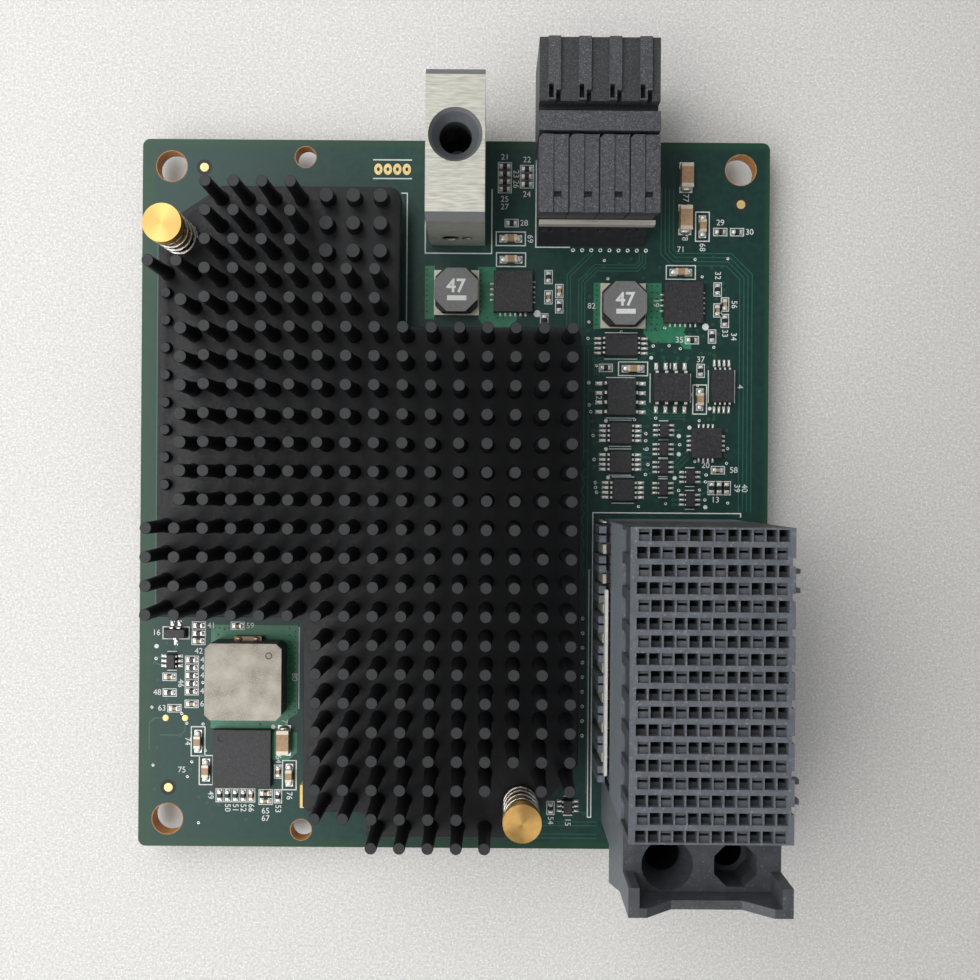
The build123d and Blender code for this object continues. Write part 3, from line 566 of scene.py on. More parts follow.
# %% Chip bodies
package_resin = speckled(
    "package_resin", (0.005, 0.005, 0.006), (0.028, 0.027, 0.030), (0.060, 0.060, 0.062), 0.52, 2.6, 5.0
)
body_nodes = ["soic_packages", "tssop_packages", "msop_packages", "sc70_packages", "sot23_package"]
flat_nodes = ["power_stage", "regulators", "quad_package"]
draft, smallest_marked, dimple_depth, dimple_sides = 0.09, 2.5, 0.07, 20
bm, dimples = bmesh.new(), bmesh.new()
for node in body_nodes + flat_nodes:
    for s in solids_of(node):
        moulded(bm, s, 0.0 if node in flat_nodes else draft)
        size = min(s.w, s.l)
        if size > smallest_marked:
            r = 0.1 + 0.055 * size
            inset = 0.28 + 1.6 * r
            profile = [(r * 0.8, s.z1 - dimple_depth), (r, s.z1 + 0.1)]
            turned(dimples, s.x - s.w / 2 + inset, s.y + s.l / 2 - inset, profile, dimple_sides)
bodies = piece(bm, "chip_bodies", package_resin, body_nodes + flat_nodes)
carve(bodies, dimples)

# %% [markdown]
# ## Leads and their solder
# Each lead leaves the middle of the body, drops in a bend and ends in a flat foot on its pad. The model's straight
# feet give the place, the width and the reach; the bend is drawn as a side outline and given the lead's width.
# Solder climbs the end of the foot, so a low blob sits there on the pad.

# %% The leads of each body
Lead = namedtuple("Lead", "body edge out reach width")


def leads_of(lead_node, body_node):
    """Leads with the body that each belongs to and the way that each points."""
    bodies_here = solids_of(body_node)
    for foot in solids_of(lead_node):
        body = nearest(foot, bodies_here)
        if abs(foot.x - body.x) - body.w / 2 > abs(foot.y - body.y) - body.l / 2:
            out = (math.copysign(1, foot.x - body.x), 0)
            edge = (body.x + out[0] * body.w / 2, foot.y)
            yield Lead(body, edge, out, abs(foot.x - edge[0]) + foot.w / 2, foot.l)
        else:
            out = (0, math.copysign(1, foot.y - body.y))
            edge = (foot.x, body.y + out[1] * body.l / 2)
            yield Lead(body, edge, out, abs(foot.y - edge[1]) + foot.l / 2, foot.w)


lead_nodes = ["soic_leads", "tssop_leads", "msop_leads", "sc70_leads", "sot23_leads"]
all_leads = [lead for pair in zip(lead_nodes, body_nodes) for lead in leads_of(*pair)]
print(len(all_leads), "leads")

# %% Bent leads, pads and solder
lead_tin = finish("lead_tin", (0.72, 0.70, 0.65), (0.84, 0.82, 0.77), 0.34, 3.0, metal=0.6, spread=0.06, bump=0.05)
leg_tin = finish("leg_tin", (0.80, 0.78, 0.73), (0.90, 0.88, 0.83), 0.34, 3.0, metal=0.45, spread=0.06, bump=0.05)
# painted shade: the sloping part of each lead is painted dark, as it lies in shade
tint(leg_tin, (0.07, 0.068, 0.06), facing(leg_tin, 0.9, 0.7))
solder = finish("solder_joints", (0.82, 0.81, 0.77), (0.94, 0.93, 0.88), 0.28, 3.0, metal=0.5, spread=0.06, bump=0.05)
# painted shade: the sloping sides of the solder are painted dark
tint(solder, (0.16, 0.155, 0.14), facing(solder, 0.85, 0.45))
pads, joints, leads = bmesh.new(), bmesh.new(), bmesh.new()


def bent_lead(lead, shoulder, sole, thick=0.13):
    """A gull-wing lead from the body's side: level shoulder, slope, level foot."""
    reach = lead.reach
    upper = [(-0.06, shoulder), (0.26 * reach, shoulder), (0.52 * reach, sole + thick), (reach, sole + thick)]
    lower = [(reach, sole), (0.44 * reach, sole), (0.18 * reach, shoulder - thick), (-0.06, shoulder - thick)]
    across = (-lead.out[1], lead.out[0])
    ends = [
        corners(leads, [(*step(step(lead.edge, lead.out, u), across, half), z) for u, z in upper + lower])
        for half in (-lead.width / 2, lead.width / 2)
    ]
    loops(leads, ends)
    for end in ends:
        for i in range(3):
            leads.faces.new((end[i], end[i + 1], end[6 - i], end[7 - i]))


def pad(x, y, w, l):
    slab(pads, x, y, w, l, deck - 0.02, deck + 0.022)


def tinned_pad(x, y, w, l, height):
    """A pad with solder domed over nearly all of it."""
    pad(x, y, w, l)
    dome(joints, x, y, 0.46 * w, 0.46 * l, deck, height)


for lead in all_leads:
    bent_lead(lead, mould_line(lead.body) + 0.06, deck + 0.05)
    pad_from, pad_to, pad_w = 0.42 * lead.reach, lead.reach + 0.38, lead.width + 0.1
    along_x = lead.out[0] != 0
    pad(*step(lead.edge, lead.out, (pad_from + pad_to) / 2), *laid(along_x, pad_to - pad_from, pad_w))
    dome(joints, *step(lead.edge, lead.out, lead.reach + 0.06), *laid(along_x, 0.34, pad_w / 2), deck, 0.24)
piece(leads, "bent_leads", leg_tin, lead_nodes)

# %% [markdown]
# ## Chip parts
# Small resistors show a black glaze between tinned ends; small capacitors are fired tan blocks with the same ends.
# The ends are slightly larger than the body. They are built from each solid's own box, the longer side telling
# which way the part lies, and every end gets a pad and a little solder.

# %% Resistors and capacitors
resistor_glaze = finish("resistor_glaze", (0.010, 0.010, 0.012), (0.028, 0.028, 0.03), 0.3, 5.0, bump=0.15)
fired_tan = finish("fired_tan", (0.27, 0.160, 0.085), (0.42, 0.275, 0.155), 0.42, 2.5, spread=0.1, bump=0.3)
chip_ends, glazed, fired = bmesh.new(), bmesh.new(), bmesh.new()
end_share, soft_edge = 0.24, 0.03


def solder_ends(s, lies_x, long, wide, more=0.0):
    """Pad and solder fillet at both ends of a chip part."""
    size = laid(lies_x, 0.34 * wide + 0.3 + more, wide + 0.14)
    for side in (-1, 1):
        spot = step(s, laid(lies_x, 1, 0), side * (long / 2 + 0.02 + more / 2))
        tinned_pad(*spot, *size, 0.5 * (s.z1 - s.z0))


def chip_part(body_bm, s):
    """A two-ended chip part: body, tinned ends, pads and solder."""
    lies_x = s.w > s.l
    long, wide = max(s.w, s.l), min(s.w, s.l)
    end_l = end_share * long
    slab(body_bm, s.x, s.y, *laid(lies_x, long - 0.04, wide - 0.05), s.z0 + 0.03, s.z1 - 0.03, soft_edge)
    for side in (-1, 1):
        spot = step(s, laid(lies_x, 1, 0), side * (long - end_l) / 2)
        slab(chip_ends, *spot, *laid(lies_x, end_l, wide), s.z0, s.z1, soft_edge)
    solder_ends(s, lies_x, long, wide)


chip_resistors, chip_capacitors = solids_of("small_resistors"), solids_of("small_capacitors")
upright = next(s for s in chip_resistors if s.l > s.w)
chip_resistors += [upright._replace(x=x, y=y) for x, y in ((13.9, 21.2), (11.9, 19.3))]
chip_capacitors += [upright._replace(x=13.9, y=23.25)]
for s in chip_resistors:
    chip_part(glazed, s)
for s in chip_capacitors:
    chip_part(fired, s)
piece(glazed, "chip_resistors", resistor_glaze, ["small_resistors"])
piece(fired, "chip_capacitors", fired_tan, ["small_capacitors"])
piece(chip_ends, "chip_part_ends", lead_tin)

# %% Larger capacitors
end_tin = finish("end_tin", (0.54, 0.48, 0.38), (0.70, 0.63, 0.51), 0.4, 3.0, metal=0.35, spread=0.06, bump=0.05)
for size, longer_pad in (("medium", 0.4), ("large", 0.0)):
    dress(size + "_capacitors", fired_tan, 0.05)
    dress(size + "_capacitor_ends", end_tin, 0.07)
    for s in solids_of(size + "_capacitors"):
        end = nearest(s, solids_of(size + "_capacitor_ends"))
        lies_x = abs(end.x - s.x) > abs(end.y - s.y)
        half = abs(end.x - s.x) + end.w / 2 if lies_x else abs(end.y - s.y) + end.l / 2
        solder_ends(s, lies_x, 2 * half, s.l if lies_x else s.w, longer_pad)
    print(len(solids_of(size + "_capacitors")), size, "capacitors soldered")

# %% [markdown]
# ## Chokes
# The large choke is pressed from metal powder and keeps a warm, mottled grey; two copper wire ends come out over a
# strap at its end. The small ones are ground ferrite drums on tinned bases, with a plain number on top. The blocks
# are right as they come and only need broken edges. Eight-sided dark skirts go below the drums, low domes make the
# wire ends, and a washer a few hundredths of a millimetre high makes the round mark.

# %% Choke finishes
pressed_powder = speckled(
    "pressed_powder", (0.20, 0.175, 0.14), (0.46, 0.415, 0.35), (0.44, 0.405, 0.35), 0.55, 0.45, 8.0, 0.56
)
strap_copper = finish("strap_copper", (0.20, 0.15, 0.11), (0.32, 0.24, 0.18), 0.4, 2.0, metal=0.8, bump=0.1)
ground_ferrite = finish("ground_ferrite", grey(0.115), (0.16, 0.158, 0.155), 0.5, 2.5, bump=0.3)
base_tin = finish("base_tin", (0.52, 0.49, 0.40), (0.66, 0.63, 0.53), 0.4, 2.0, metal=0.3, bump=0.1)
# painted shade: the upright sides of the small drums and of the large choke are painted dark
tint(ground_ferrite, grey(0.018), facing(ground_ferrite, 0.6, 0.3))
tint(pressed_powder, (0.075, 0.07, 0.062), facing(pressed_powder, 0.6, 0.3))
dress("main_choke", pressed_powder, 0.25)
dress("main_choke_straps", strap_copper, 0.08)
dress("small_choke_cores", ground_ferrite, 0.12)
dress("small_choke_bases", base_tin, 0.06)
choke, strap = solids_of("main_choke")[0], solids_of("main_choke_straps")[0]
print("large choke stands", round(choke.z1 - deck, 2), "mm above the mask")

# %% Skirts, wire ends and the round mark
drum_black = finish("drum_black", grey(0.006), (0.016, 0.015, 0.015), 0.6, 2.5, bump=0.3)
skirt_in, corner_cut, skirt_below = 0.04, 0.95, 0.7
bm = bmesh.new()
for s in solids_of("small_choke_cores"):
    far = s.w / 2 - skirt_in
    near = far - corner_cut
    eight_sided = [(far, -near), (far, near), (near, far), (-near, far),
                   (-far, near), (-far, -near), (-near, -far), (near, -far)]
    prism(bm, [(s.x + x, s.y + y) for x, y in eight_sided], s.z0 - 0.02, s.z1 - skirt_below, 0.05)
piece(bm, "choke_skirts", drum_black)
wire_copper = finish("wire_copper", (0.78, 0.34, 0.13), (0.92, 0.50, 0.24), 0.3, 2.0, metal=0.7, bump=0.05)
bm = bmesh.new()
for side in (-1, 1):
    dome(bm, strap.x + side * 1.15, strap.y - 0.02, 0.5, 0.33, strap.z1 - 0.1, 0.5, 14)
piece(bm, "choke_wire_ends", wire_copper, smooth=True)
mark_grey = finish("choke_mark_grey", (0.06, 0.055, 0.05), (0.10, 0.09, 0.08), 0.5, 2.0, bump=0.2)
mark_x, mark_y = choke.x + choke.w / 2 - 1.65, choke.y + choke.l / 2 - 1.55
mark_in_r, mark_out_r = 0.30, 0.46
bm = bmesh.new()
ring(bm, mark_x, mark_y, mark_in_r, mark_out_r, choke.z1 - 0.02, choke.z1 + 0.03, 24)
piece(bm, "choke_mark", mark_grey)

# %% [markdown]
# ## Guide block
# A block of milled aluminium with a warm tone. The cutter ran across it, so the noise is stretched into fine lines
# along X. Its sloped faces and countersink are painted darker as shade, and the bore and the two eyes are painted
# black inside as shade, each tinted by its place.

# %% Milled block and its screws
milled = finish("milled_block", (0.36, 0.35, 0.30), (0.60, 0.59, 0.515), 0.48, 5.0, metal=0.55, spread=0.1, bump=0.2,
                stretch=(0.12, 1, 1), sharp=0.22)
block = solids_of("guide_block")[0]
back_y = block.y - block.l / 2
bore, bore_r, cone_r = (0.3, 39.55), 2.06, 2.9
eyes_half, eyes_low, eyes_high = 2.3, deck + 2.8, deck + 5.6
# painted shade: sloped faces and the countersink round the bore are painted darker
tilted = facing(milled, 0.95, 0.85)
tint(milled, (0.17, 0.175, 0.18), tilted, facing(milled, 0.3, 0.4))
tint(milled, (0.11, 0.118, 0.128), tilted, near_axis(milled, *bore, cone_r))
# painted shade: the bore and the two eyes are painted black inside, where shade falls
tint(milled, grey(0.012), near_axis(milled, *bore, bore_r), past(milled, "Z", block.z1 - 1.0, block.z1 - 4.0))
in_eyes = (within(milled, "X", block.x - eyes_half, block.x + eyes_half),
           within(milled, "Y", back_y + 0.2, back_y + 2.3), within(milled, "Z", eyes_low, eyes_high))
tint(milled, grey(0.01), *in_eyes)
screw_steel = finish("screw_steel", grey(0.32), grey(0.5), 0.35, 3.0, metal=1.0)
dress("guide_block", milled, 0.1)
dress("guide_block_screws", screw_steel, 0.08)
print("guide block stands", round(block.z1 - deck, 2), "mm above the mask")

# %% [markdown]
# ## Edge connector
# Charcoal plastic filled with short glass fibre, which shows as pale specks. Notches, slots and the sunk panels
# are painted darker as shade. All of these lie at known depths below the top, so each is tinted by its height. A
# narrow slice at each seam between the four modules is painted dark as shade too.

# %% Speckled charcoal plastic
charcoal = speckled(
    "charcoal_plastic", (0.020, 0.020, 0.023), (0.054, 0.055, 0.062), (0.125, 0.125, 0.138), 0.5, 2.2, 6.5, 0.57
)
edge_modules = ("edge_module_1", "edge_module_2", "edge_module_3", "edge_module_4")
module_top = box_mm("edge_module_1")[1].z
level = facing(charcoal, 0.6, 0.9)
notches_at, slots_at, panels_at = (
    within(charcoal, "Z", module_top - deepest, module_top - highest)
    for deepest, highest in ((0.56, 0.44), (3.0, 1.2), (0.42, 0.38))
)
# painted shade: notches, slots and sunk panels are painted darker by their depth below the top
tint(charcoal, grey(0.003), level, notches_at)
tint(charcoal, (0.010, 0.010, 0.012), level, slots_at)
tint(charcoal, grey(0.5), level, panels_at, how="MULTIPLY")
shoulder_y, seam_half = 40.1, 0.1
# painted shade: a narrow dark slice is painted at each seam between the modules
below_shoulder = past(charcoal, "Y", shoulder_y + 0.1, shoulder_y - 0.1)
for node in edge_modules[:3]:
    seam_x = box_mm(node)[1].x
    seam = within(charcoal, "X", seam_x - seam_half, seam_x + seam_half, 0.04)
    tint(charcoal, (0.004, 0.004, 0.005), seam, below_shoulder)
for node in (*edge_modules, "edge_shroud"):
    dress(node, charcoal, 0.07)
tail_plastic = speckled("tail_plastic", (0.010, 0.010, 0.011), (0.02, 0.02, 0.021), (0.04, 0.04, 0.042), 0.6, 1.5, 6.0)
dress("edge_tail_block", tail_plastic, 0.05)
strip_metal = finish("strip_metal", (0.52, 0.49, 0.43), (0.68, 0.65, 0.58), 0.35, 2.0, metal=0.3, stretch=(0.1, 1, 1))
dress("edge_strip", strip_metal, 0.06)
print(len(edge_modules), "modules reach", round(module_top, 2), "mm")

# %% [markdown]
# ## Tall connector
# Blue-grey filled plastic, moulded in one with rows of pockets that take the mating contacts. Thin ribs part the
# pockets; in two of three the deep slot fills the upper half and a ledge the lower, and the third has only a slit.
# The model has plain slots, so the slotted face is cut again as a stepped grid: every cell of the grid lies at one
# depth, and walls join cells of different depth. That is simpler than hundreds of Booleans, and always closed.

# %% A face cut in steps
def stepped_face(bm, us, vs, depth, place):
    """A flat face with level pockets: depth(u, v) is how far a cell lies below it, None where it is open."""
    made = {}

    def corner(u, v, d):
        key = (round(u, 4), round(v, 4), round(d, 4))
        if key not in made:
            made[key] = corners(bm, [place(u, v, d)])[0]
        return made[key]

    cells = {}
    for i, (u0, u1) in enumerate(zip(us, us[1:])):
        for j, (v0, v1) in enumerate(zip(vs, vs[1:])):
            d = cells[i, j] = depth((u0 + u1) / 2, (v0 + v1) / 2)
            if d is not None:
                bm.faces.new((corner(u0, v0, d), corner(u1, v0, d), corner(u1, v1, d), corner(u0, v1, d)))
    for (i, j), d in cells.items():
        for beyond, a, b in (((i + 1, j), (i + 1, j), (i + 1, j + 1)), ((i, j + 1), (i, j + 1), (i + 1, j + 1))):
            other = cells.get(beyond)
            if d is None or other is None or abs(d - other) < 1e-6:
                continue
            (ua, va), (ub, vb) = ((us[m], vs[n]) for m, n in (a, b))
            bm.faces.new((corner(ua, va, d), corner(ub, vb, d), corner(ub, vb, other), corner(ua, va, other)))


# %% Pockets and notches of the model
tall_mesh = nodes["tall_housing"].data
tall_low, tall_high = box_mm("tall_housing")
face_z = tall_high.z
slot_faces = [f for f in tall_mesh.polygons if f.normal.z > 0.99 and 2 < face_z - f.center.z / MM < 4]
slots = [s for s in map(solid_of, joined_corners(tall_mesh, slot_faces)) if s.w > 0.9]
slot_depth = face_z - slots[0].z0


def on_top(face):
    return face.normal.z > 0.99 and face_z - face.center.z / MM < 0.01


top_spots = [tall_mesh.vertices[v].co / MM for f in tall_mesh.polygons if on_top(f) for v in f.vertices]
face_x, face_y = ([pick(p[i] for p in top_spots) for pick in (min, max)] for i in (0, 1))
notch_x = face_x[1] - 0.35
edge_spots = sorted({round(p.y, 3) for p in top_spots if abs(p.x - notch_x) < 0.01})
notches = list(zip(edge_spots[::2], edge_spots[1::2]))
rows = {}
for s in slots:
    rows.setdefault(round(s.y, 2), []).append(s)
print(len(slots), "pockets in", len(rows), "rows;", len(notches), "notches in the right side")

# %% The slotted housing
pocket_l, ledge_depth, slit_ledge_depth = 1.3, 1.0, 0.32
ledge_to, slit_from, slit_to = -0.12, 0.02, 0.30


def pocket_depth(x, y):
    """Depth of the slotted face at one place."""
    if x > notch_x and any(a < y < b for a, b in notches):
        return None
    row = min(rows, key=lambda r: abs(r - y))
    if abs(y - row) > pocket_l / 2:
        return 0.0
    for s in rows[row]:
        if abs(x - s.x) < s.w / 2:
            if s.l < 0.6:
                return slot_depth if slit_from < y - row < slit_to else slit_ledge_depth
            return slot_depth if y - row > ledge_to else ledge_depth
    return 0.0


def is_outside(face):
    """True for faces of the model that are kept: not the slotted face and not the walls of its slots."""
    c = face.center / MM
    inside = face_x[0] + 0.45 < c.x < face_x[1] - 0.45 and face_y[0] + 0.1 < c.y < face_y[1] - 0.1
    return not on_top(face) and not (inside and c.z > face_z - slot_depth - 0.05)


def grid_lines(*places):
    return sorted({round(v, 4) for v in places})


pocket_lines = (-pocket_l / 2, pocket_l / 2, ledge_to, slit_from, slit_to)
us = grid_lines(*face_x, notch_x, *(s.x + half for s in slots for half in (-s.w / 2, s.w / 2)))
vs = grid_lines(*face_y, *(y for notch in notches for y in notch), *(r + d for r in rows for d in pocket_lines))
bm = bmesh.new()
stepped_face(bm, us, vs, pocket_depth, lambda x, y, d: (x, y, face_z - d))
bmesh.ops.dissolve_limit(bm, angle_limit=math.radians(1), verts=bm.verts, edges=bm.edges)
copy_faces(bm, tall_mesh, filter(is_outside, tall_mesh.polygons))
bmesh.ops.remove_doubles(bm, verts=bm.verts, dist=0.002 * MM)
blue_grey = speckled(
    "blue_grey_plastic", (0.070, 0.077, 0.089), (0.106, 0.115, 0.130), (0.165, 0.178, 0.198), 0.5, 1.0, 3.6, 0.61
)
piece(bm, "slotted_housing", blue_grey, ["tall_housing"])

# %% Shades of the housing
floor_z, flank_z = face_z - slot_depth - 0.2, face_z - 7.2
# painted shade: the floors of the pockets and slots are painted darker
in_pocket = (past(blue_grey, "Z", face_z - 0.15, face_z - 0.45), past(blue_grey, "Z", floor_z - 0.1, floor_z),
             within(blue_grey, "X", *face_x))
tint(blue_grey, (0.038, 0.040, 0.045), *in_pocket, facing(blue_grey, 0.5, 0.9))
upright = facing(blue_grey, 0.5, 0.1)
left_flank = both(blue_grey, upright, within(blue_grey, "X", face_x[0] - 0.1, face_x[0] + 0.6))
# painted shade: the upper part of the left flank is painted darker
tint(blue_grey, (0.046, 0.053, 0.060), left_flank, within(blue_grey, "Z", flank_z, face_z - 0.6))
# painted light: the lower part of the left flank is painted lighter, as the lamp on the left lights it
tint(blue_grey, (0.132, 0.150, 0.166), left_flank, within(blue_grey, "Z", tall_low.z, flank_z))
end_face = both(blue_grey, upright, past(blue_grey, "Y", face_y[1] - 0.15, face_y[1] - 0.05))
tint(blue_grey, (0.045, 0.053, 0.053), end_face)
tint(blue_grey, (0.014, 0.018, 0.017), end_face, streaks(blue_grey, 2.6, (1, 1, 0.05)))
print("slotted housing spans", round(tall_low.z, 2), "to", round(tall_high.z, 2), "mm")

# %% Guide module
guide_grey = speckled(
    "guide_grey_plastic", (0.037, 0.040, 0.045), (0.058, 0.062, 0.070), (0.10, 0.105, 0.115), 0.5, 1.0, 3.6
)
socket_y = -45.3
# painted shade: the two socket holes are painted black inside
for x, r, top in ((25.0, 2.07, 23.2), (32.65, 1.83, 22.4)):
    tint(guide_grey, grey(0.004), near_axis(guide_grey, x, socket_y, r), within(guide_grey, "Z", 0, top))
guide_left = box_mm("guide_module")[0].x
# painted light: the left flank is painted lighter, as the lamp on the left lights it
guide_flank = facing(guide_grey, 0.5, 0.1), within(guide_grey, "X", guide_left - 0.1, guide_left + 0.3)
tint(guide_grey, (0.100, 0.112, 0.124), *guide_flank)
dress("guide_module", guide_grey, 0.12)
print("guide module starts at x", round(guide_left, 2), "mm")

# %% Wafers, contacts and keeper
def footprint(x, y, w, l):
    """Left, front, right and back of a box on the board."""
    return x - w / 2, y - l / 2, x + w / 2, y + l / 2


def bar(bm, x0, x1, y, l, *heights):
    """A slab between two places on X."""
    slab(bm, (x0 + x1) / 2, y, x1 - x0, l, *heights)


wafer_plastic = speckled(
    "wafer_plastic", (0.090, 0.103, 0.122), (0.135, 0.150, 0.172), (0.19, 0.21, 0.23), 0.5, 1.2, 4.0
)
shoulder_z = solids_of("wafer_keeper")[0].z0
groove_z = shoulder_z - 3.0
shoulder_x, groove_x, thin_wafer = 19.72, 20.2, 0.9
bm = bmesh.new()
for s in solids_of("wafers"):
    x0, _, x1, _ = footprint(*s[:4])
    if s.l < thin_wafer:
        bar(bm, x0, x1, s.y, s.l, s.z0, s.z1, 0.04)
        continue
    bar(bm, x0, shoulder_x, s.y, s.l - 0.04, groove_z - 0.2, shoulder_z, 0.06)
    bar(bm, x0, groove_x, s.y, s.l, s.z0, groove_z)
    bar(bm, groove_x, x1, s.y, s.l, s.z0, s.z1)
piece(bm, "wafer_stack", wafer_plastic, ["wafers"])
contact_metal = finish("contact_metal", (0.72, 0.68, 0.60), (0.86, 0.83, 0.75), 0.35, 2.0, metal=0.4, bump=0.05)
bm = bmesh.new()
tab_from, tab_to, blade_from, blade_drop = 0.02, 0.54, 0.8, 2.5
for s in solids_of("ground_contacts"):
    x0, _, x1, _ = footprint(*s[:4])
    bar(bm, x0 + tab_from, x0 + tab_to, s.y, s.l - 0.3, s.z0, s.z1, 0.05)
    if x1 > x0 + 2:
        bar(bm, x0 + blade_from, x1, s.y, s.l - 0.1, s.z0, s.z1 - blade_drop)
piece(bm, "contact_tabs", contact_metal, ["ground_contacts"])
keeper_white = finish("keeper_white", (0.52, 0.52, 0.49), (0.64, 0.64, 0.61), 0.5, 2.0, bump=0.2)
dress("wafer_keeper", keeper_white, 0.06)

# %% [markdown]
# ## Parts under the heat sink
# The controller, its metal lid, the soft pad on it and the yellow support pad are nearly all hidden. They still get
# true finishes, because a low view from the side sees between plate and board.

# %% Hidden parts
lid_metal = finish("lid_metal", (0.40, 0.40, 0.41), (0.56, 0.56, 0.57), 0.35, 2.0, metal=1.0)
pad_grey = finish("pad_grey", (0.13, 0.14, 0.15), (0.19, 0.20, 0.21), 0.8, 2.0, bump=0.4)
pad_yellow = finish("pad_cream", (0.66, 0.47, 0.13), (0.80, 0.60, 0.22), 0.6, 2.0, bump=0.3)
dress("controller_base", package_resin, 0.1)
dress("controller_lid", lid_metal, 0.1)
dress("thermal_pad", pad_grey, 0.05)
dress("support_pad", pad_yellow, 0.1)
print("the sink's plate leaves", round(sink_low.z - deck, 2), "mm above the mask")

# %% [markdown]
# ## Where the board is free
# Vias, stubs and printed numbers go where no part stands. A list of taken boxes and a few windows of open board are
# enough to test a spot, so few have to be listed one by one and none of the others ends up under a part.

# %% Taken spots and open windows
def around(x, y, r):
    return footprint(x, y, 2 * r, 2 * r)


def span(p, q, gap):
    """A box from one place to another, with a gap all round."""
    return min(p[0], q[0]) - gap, min(p[1], q[1]) - gap, max(p[0], q[0]) + gap, max(p[1], q[1]) + gap


part_nodes = body_nodes + flat_nodes + lead_nodes + [
    "small_resistors", "small_capacitors", "medium_capacitors", "medium_capacitor_ends", "large_capacitors",
    "large_capacitor_ends", "main_choke", "main_choke_straps", "small_choke_bases",
]
open_windows = [
    (17.2, -6.0, 40.5, 28.4), (-41.0, -48.6, -20.4, -21.4), (5.2, 27.0, 10.5, 42.6), (26.5, 28.0, 40.0, 36.5),
    (10.6, -50.8, 18.0, -44.0),
]
first_lead_dots = [
    (26.27, 14.38, 0.25), (20.27, 5.92, 0.25), (20.3, 2.13, 0.25), (20.61, -1.67, 0.25), (17.93, 11.0, 0.25),
    (33.5, 18.57, 0.45), (10.95, 20.2, 0.47), (30.05, 3.93, 0.28), (30.05, 1.5, 0.28), (29.52, -1.7, 0.28),
    (33.65, -5.57, 0.28), (31.45, 5.07, 0.28), (34.15, 7.64, 0.25), (-24.0, -35.4, 0.3), (-39.7, -24.7, 0.3),
]
standing = [s for node in part_nodes for s in solids_of(node)] + chip_resistors + chip_capacitors
taken = [footprint(*s[:4]) for s in standing]
taken += [span(lead.edge, step(lead.edge, lead.out, lead.reach + 0.4), 0.3) for lead in all_leads]
taken += [around(*mark) for mark in first_lead_dots]
taken += [around(x, y, r + 0.6) for x, y, r in board_holes]


def is_free(x0, y0, x1, y1, gap):
    """True where a box lies in an open window and clear of everything placed so far."""
    if not any(a <= x0 and b <= y0 and x1 <= c and y1 <= d for a, b, c, d in open_windows):
        return False
    return all(x1 + gap < a or x0 - gap > c or y1 + gap < b or y0 - gap > d for a, b, c, d in taken)


print(len(taken), "boxes are taken by parts, leads, dots and holes")

# %% [markdown]
# ## Copper pours and traces
# Under the mask, copper shows as lighter green. Pours surround the chokes and regulators, and thin traces run in
# bundles to the connectors. A real layout is drawn by a program; here a path helper draws the bundles that can be
# seen, each trace a strip a hundredth of a millimetre high, so that it catches light along its edges.

# %% Pours and their rows of small holes
pour_mask = finish("pour_mask", (0.016, 0.135, 0.070), (0.030, 0.200, 0.105), 0.34, 1.2, spread=0.05, bump=0.06)
trace_mask = finish("trace_mask", (0.010, 0.070, 0.050), (0.018, 0.098, 0.070), 0.34, 2.0, spread=0.05, bump=0.06)
hole_dark = finish("hole_dark", (0.003, 0.006, 0.005), (0.008, 0.013, 0.011), 0.6, 4.0)
pours, traces, holes = bmesh.new(), bmesh.new(), bmesh.new()
layer_z = deck - 0.01
pour_outlines = [
    [(18.5, 18.2), (19.9, 18.2), (19.9, 24.4), (18.5, 24.4)],
    [(25.2, 24.4), (25.2, 17.6), (26.4, 16.4), (30.0, 16.4), (30.7, 15.6), (31.6, 15.6), (31.6, 16.8), (30.6, 17.8),
     (31.4, 19.8), (27.6, 19.8), (27.6, 24.4)],
    [(-4.1, 19.4), (-2.8, 19.4), (-2.8, 26.5), (-4.1, 26.5)],
    [(3.0, 26.4), (3.0, 19.6), (3.9, 18.3), (7.6, 18.3), (8.2, 19.4), (8.2, 20.6), (5.4, 20.6), (5.4, 26.4)],
    [(-32.4, -21.8), (-32.4, -35.6), (-22.6, -35.6), (-21.8, -34.2), (-20.8, -33.6), (-20.8, -21.8)],
    [(-24.2, -36.1), (-24.2, -39.8), (-21.9, -39.8), (-20.8, -38.8), (-20.8, -36.1)],
]
for outline in pour_outlines:
    prism(pours, outline, layer_z, deck + 0.008)


def dot(x, y, r=0.11):
    disc(holes, x, y, r, deck - 0.005, deck + 0.014, 8)


hole_rows = [
    (25.6, 24.0, 0.85, 8), (26.3, 24.0, 0.85, 8), (27.0, 24.0, 0.85, 8), (-21.1, -22.6, 0.72, 16),
    (-21.9, -22.2, 0.90, 16), (-3.8, 26.0, 0.7, 9), (3.4, 26.0, 0.7, 9), (18.9, 24.0, 0.65, 9),
]
for x, y, pitch, count in hole_rows:
    for k in range(count):
        dot(x, y - pitch * k)
for k in range(9):
    dot(-31.9 + 0.62 * k, -22.2)
for x in (4.3, 5.6, 6.45, 7.3):
    dot(x, 19.6)
print(len(pour_outlines), "pours and", len(hole_rows) + 2, "rows of holes")

# %% Traces
def trace(points, width=0.13):
    strip(traces, points, width, layer_z, deck + 0.010)


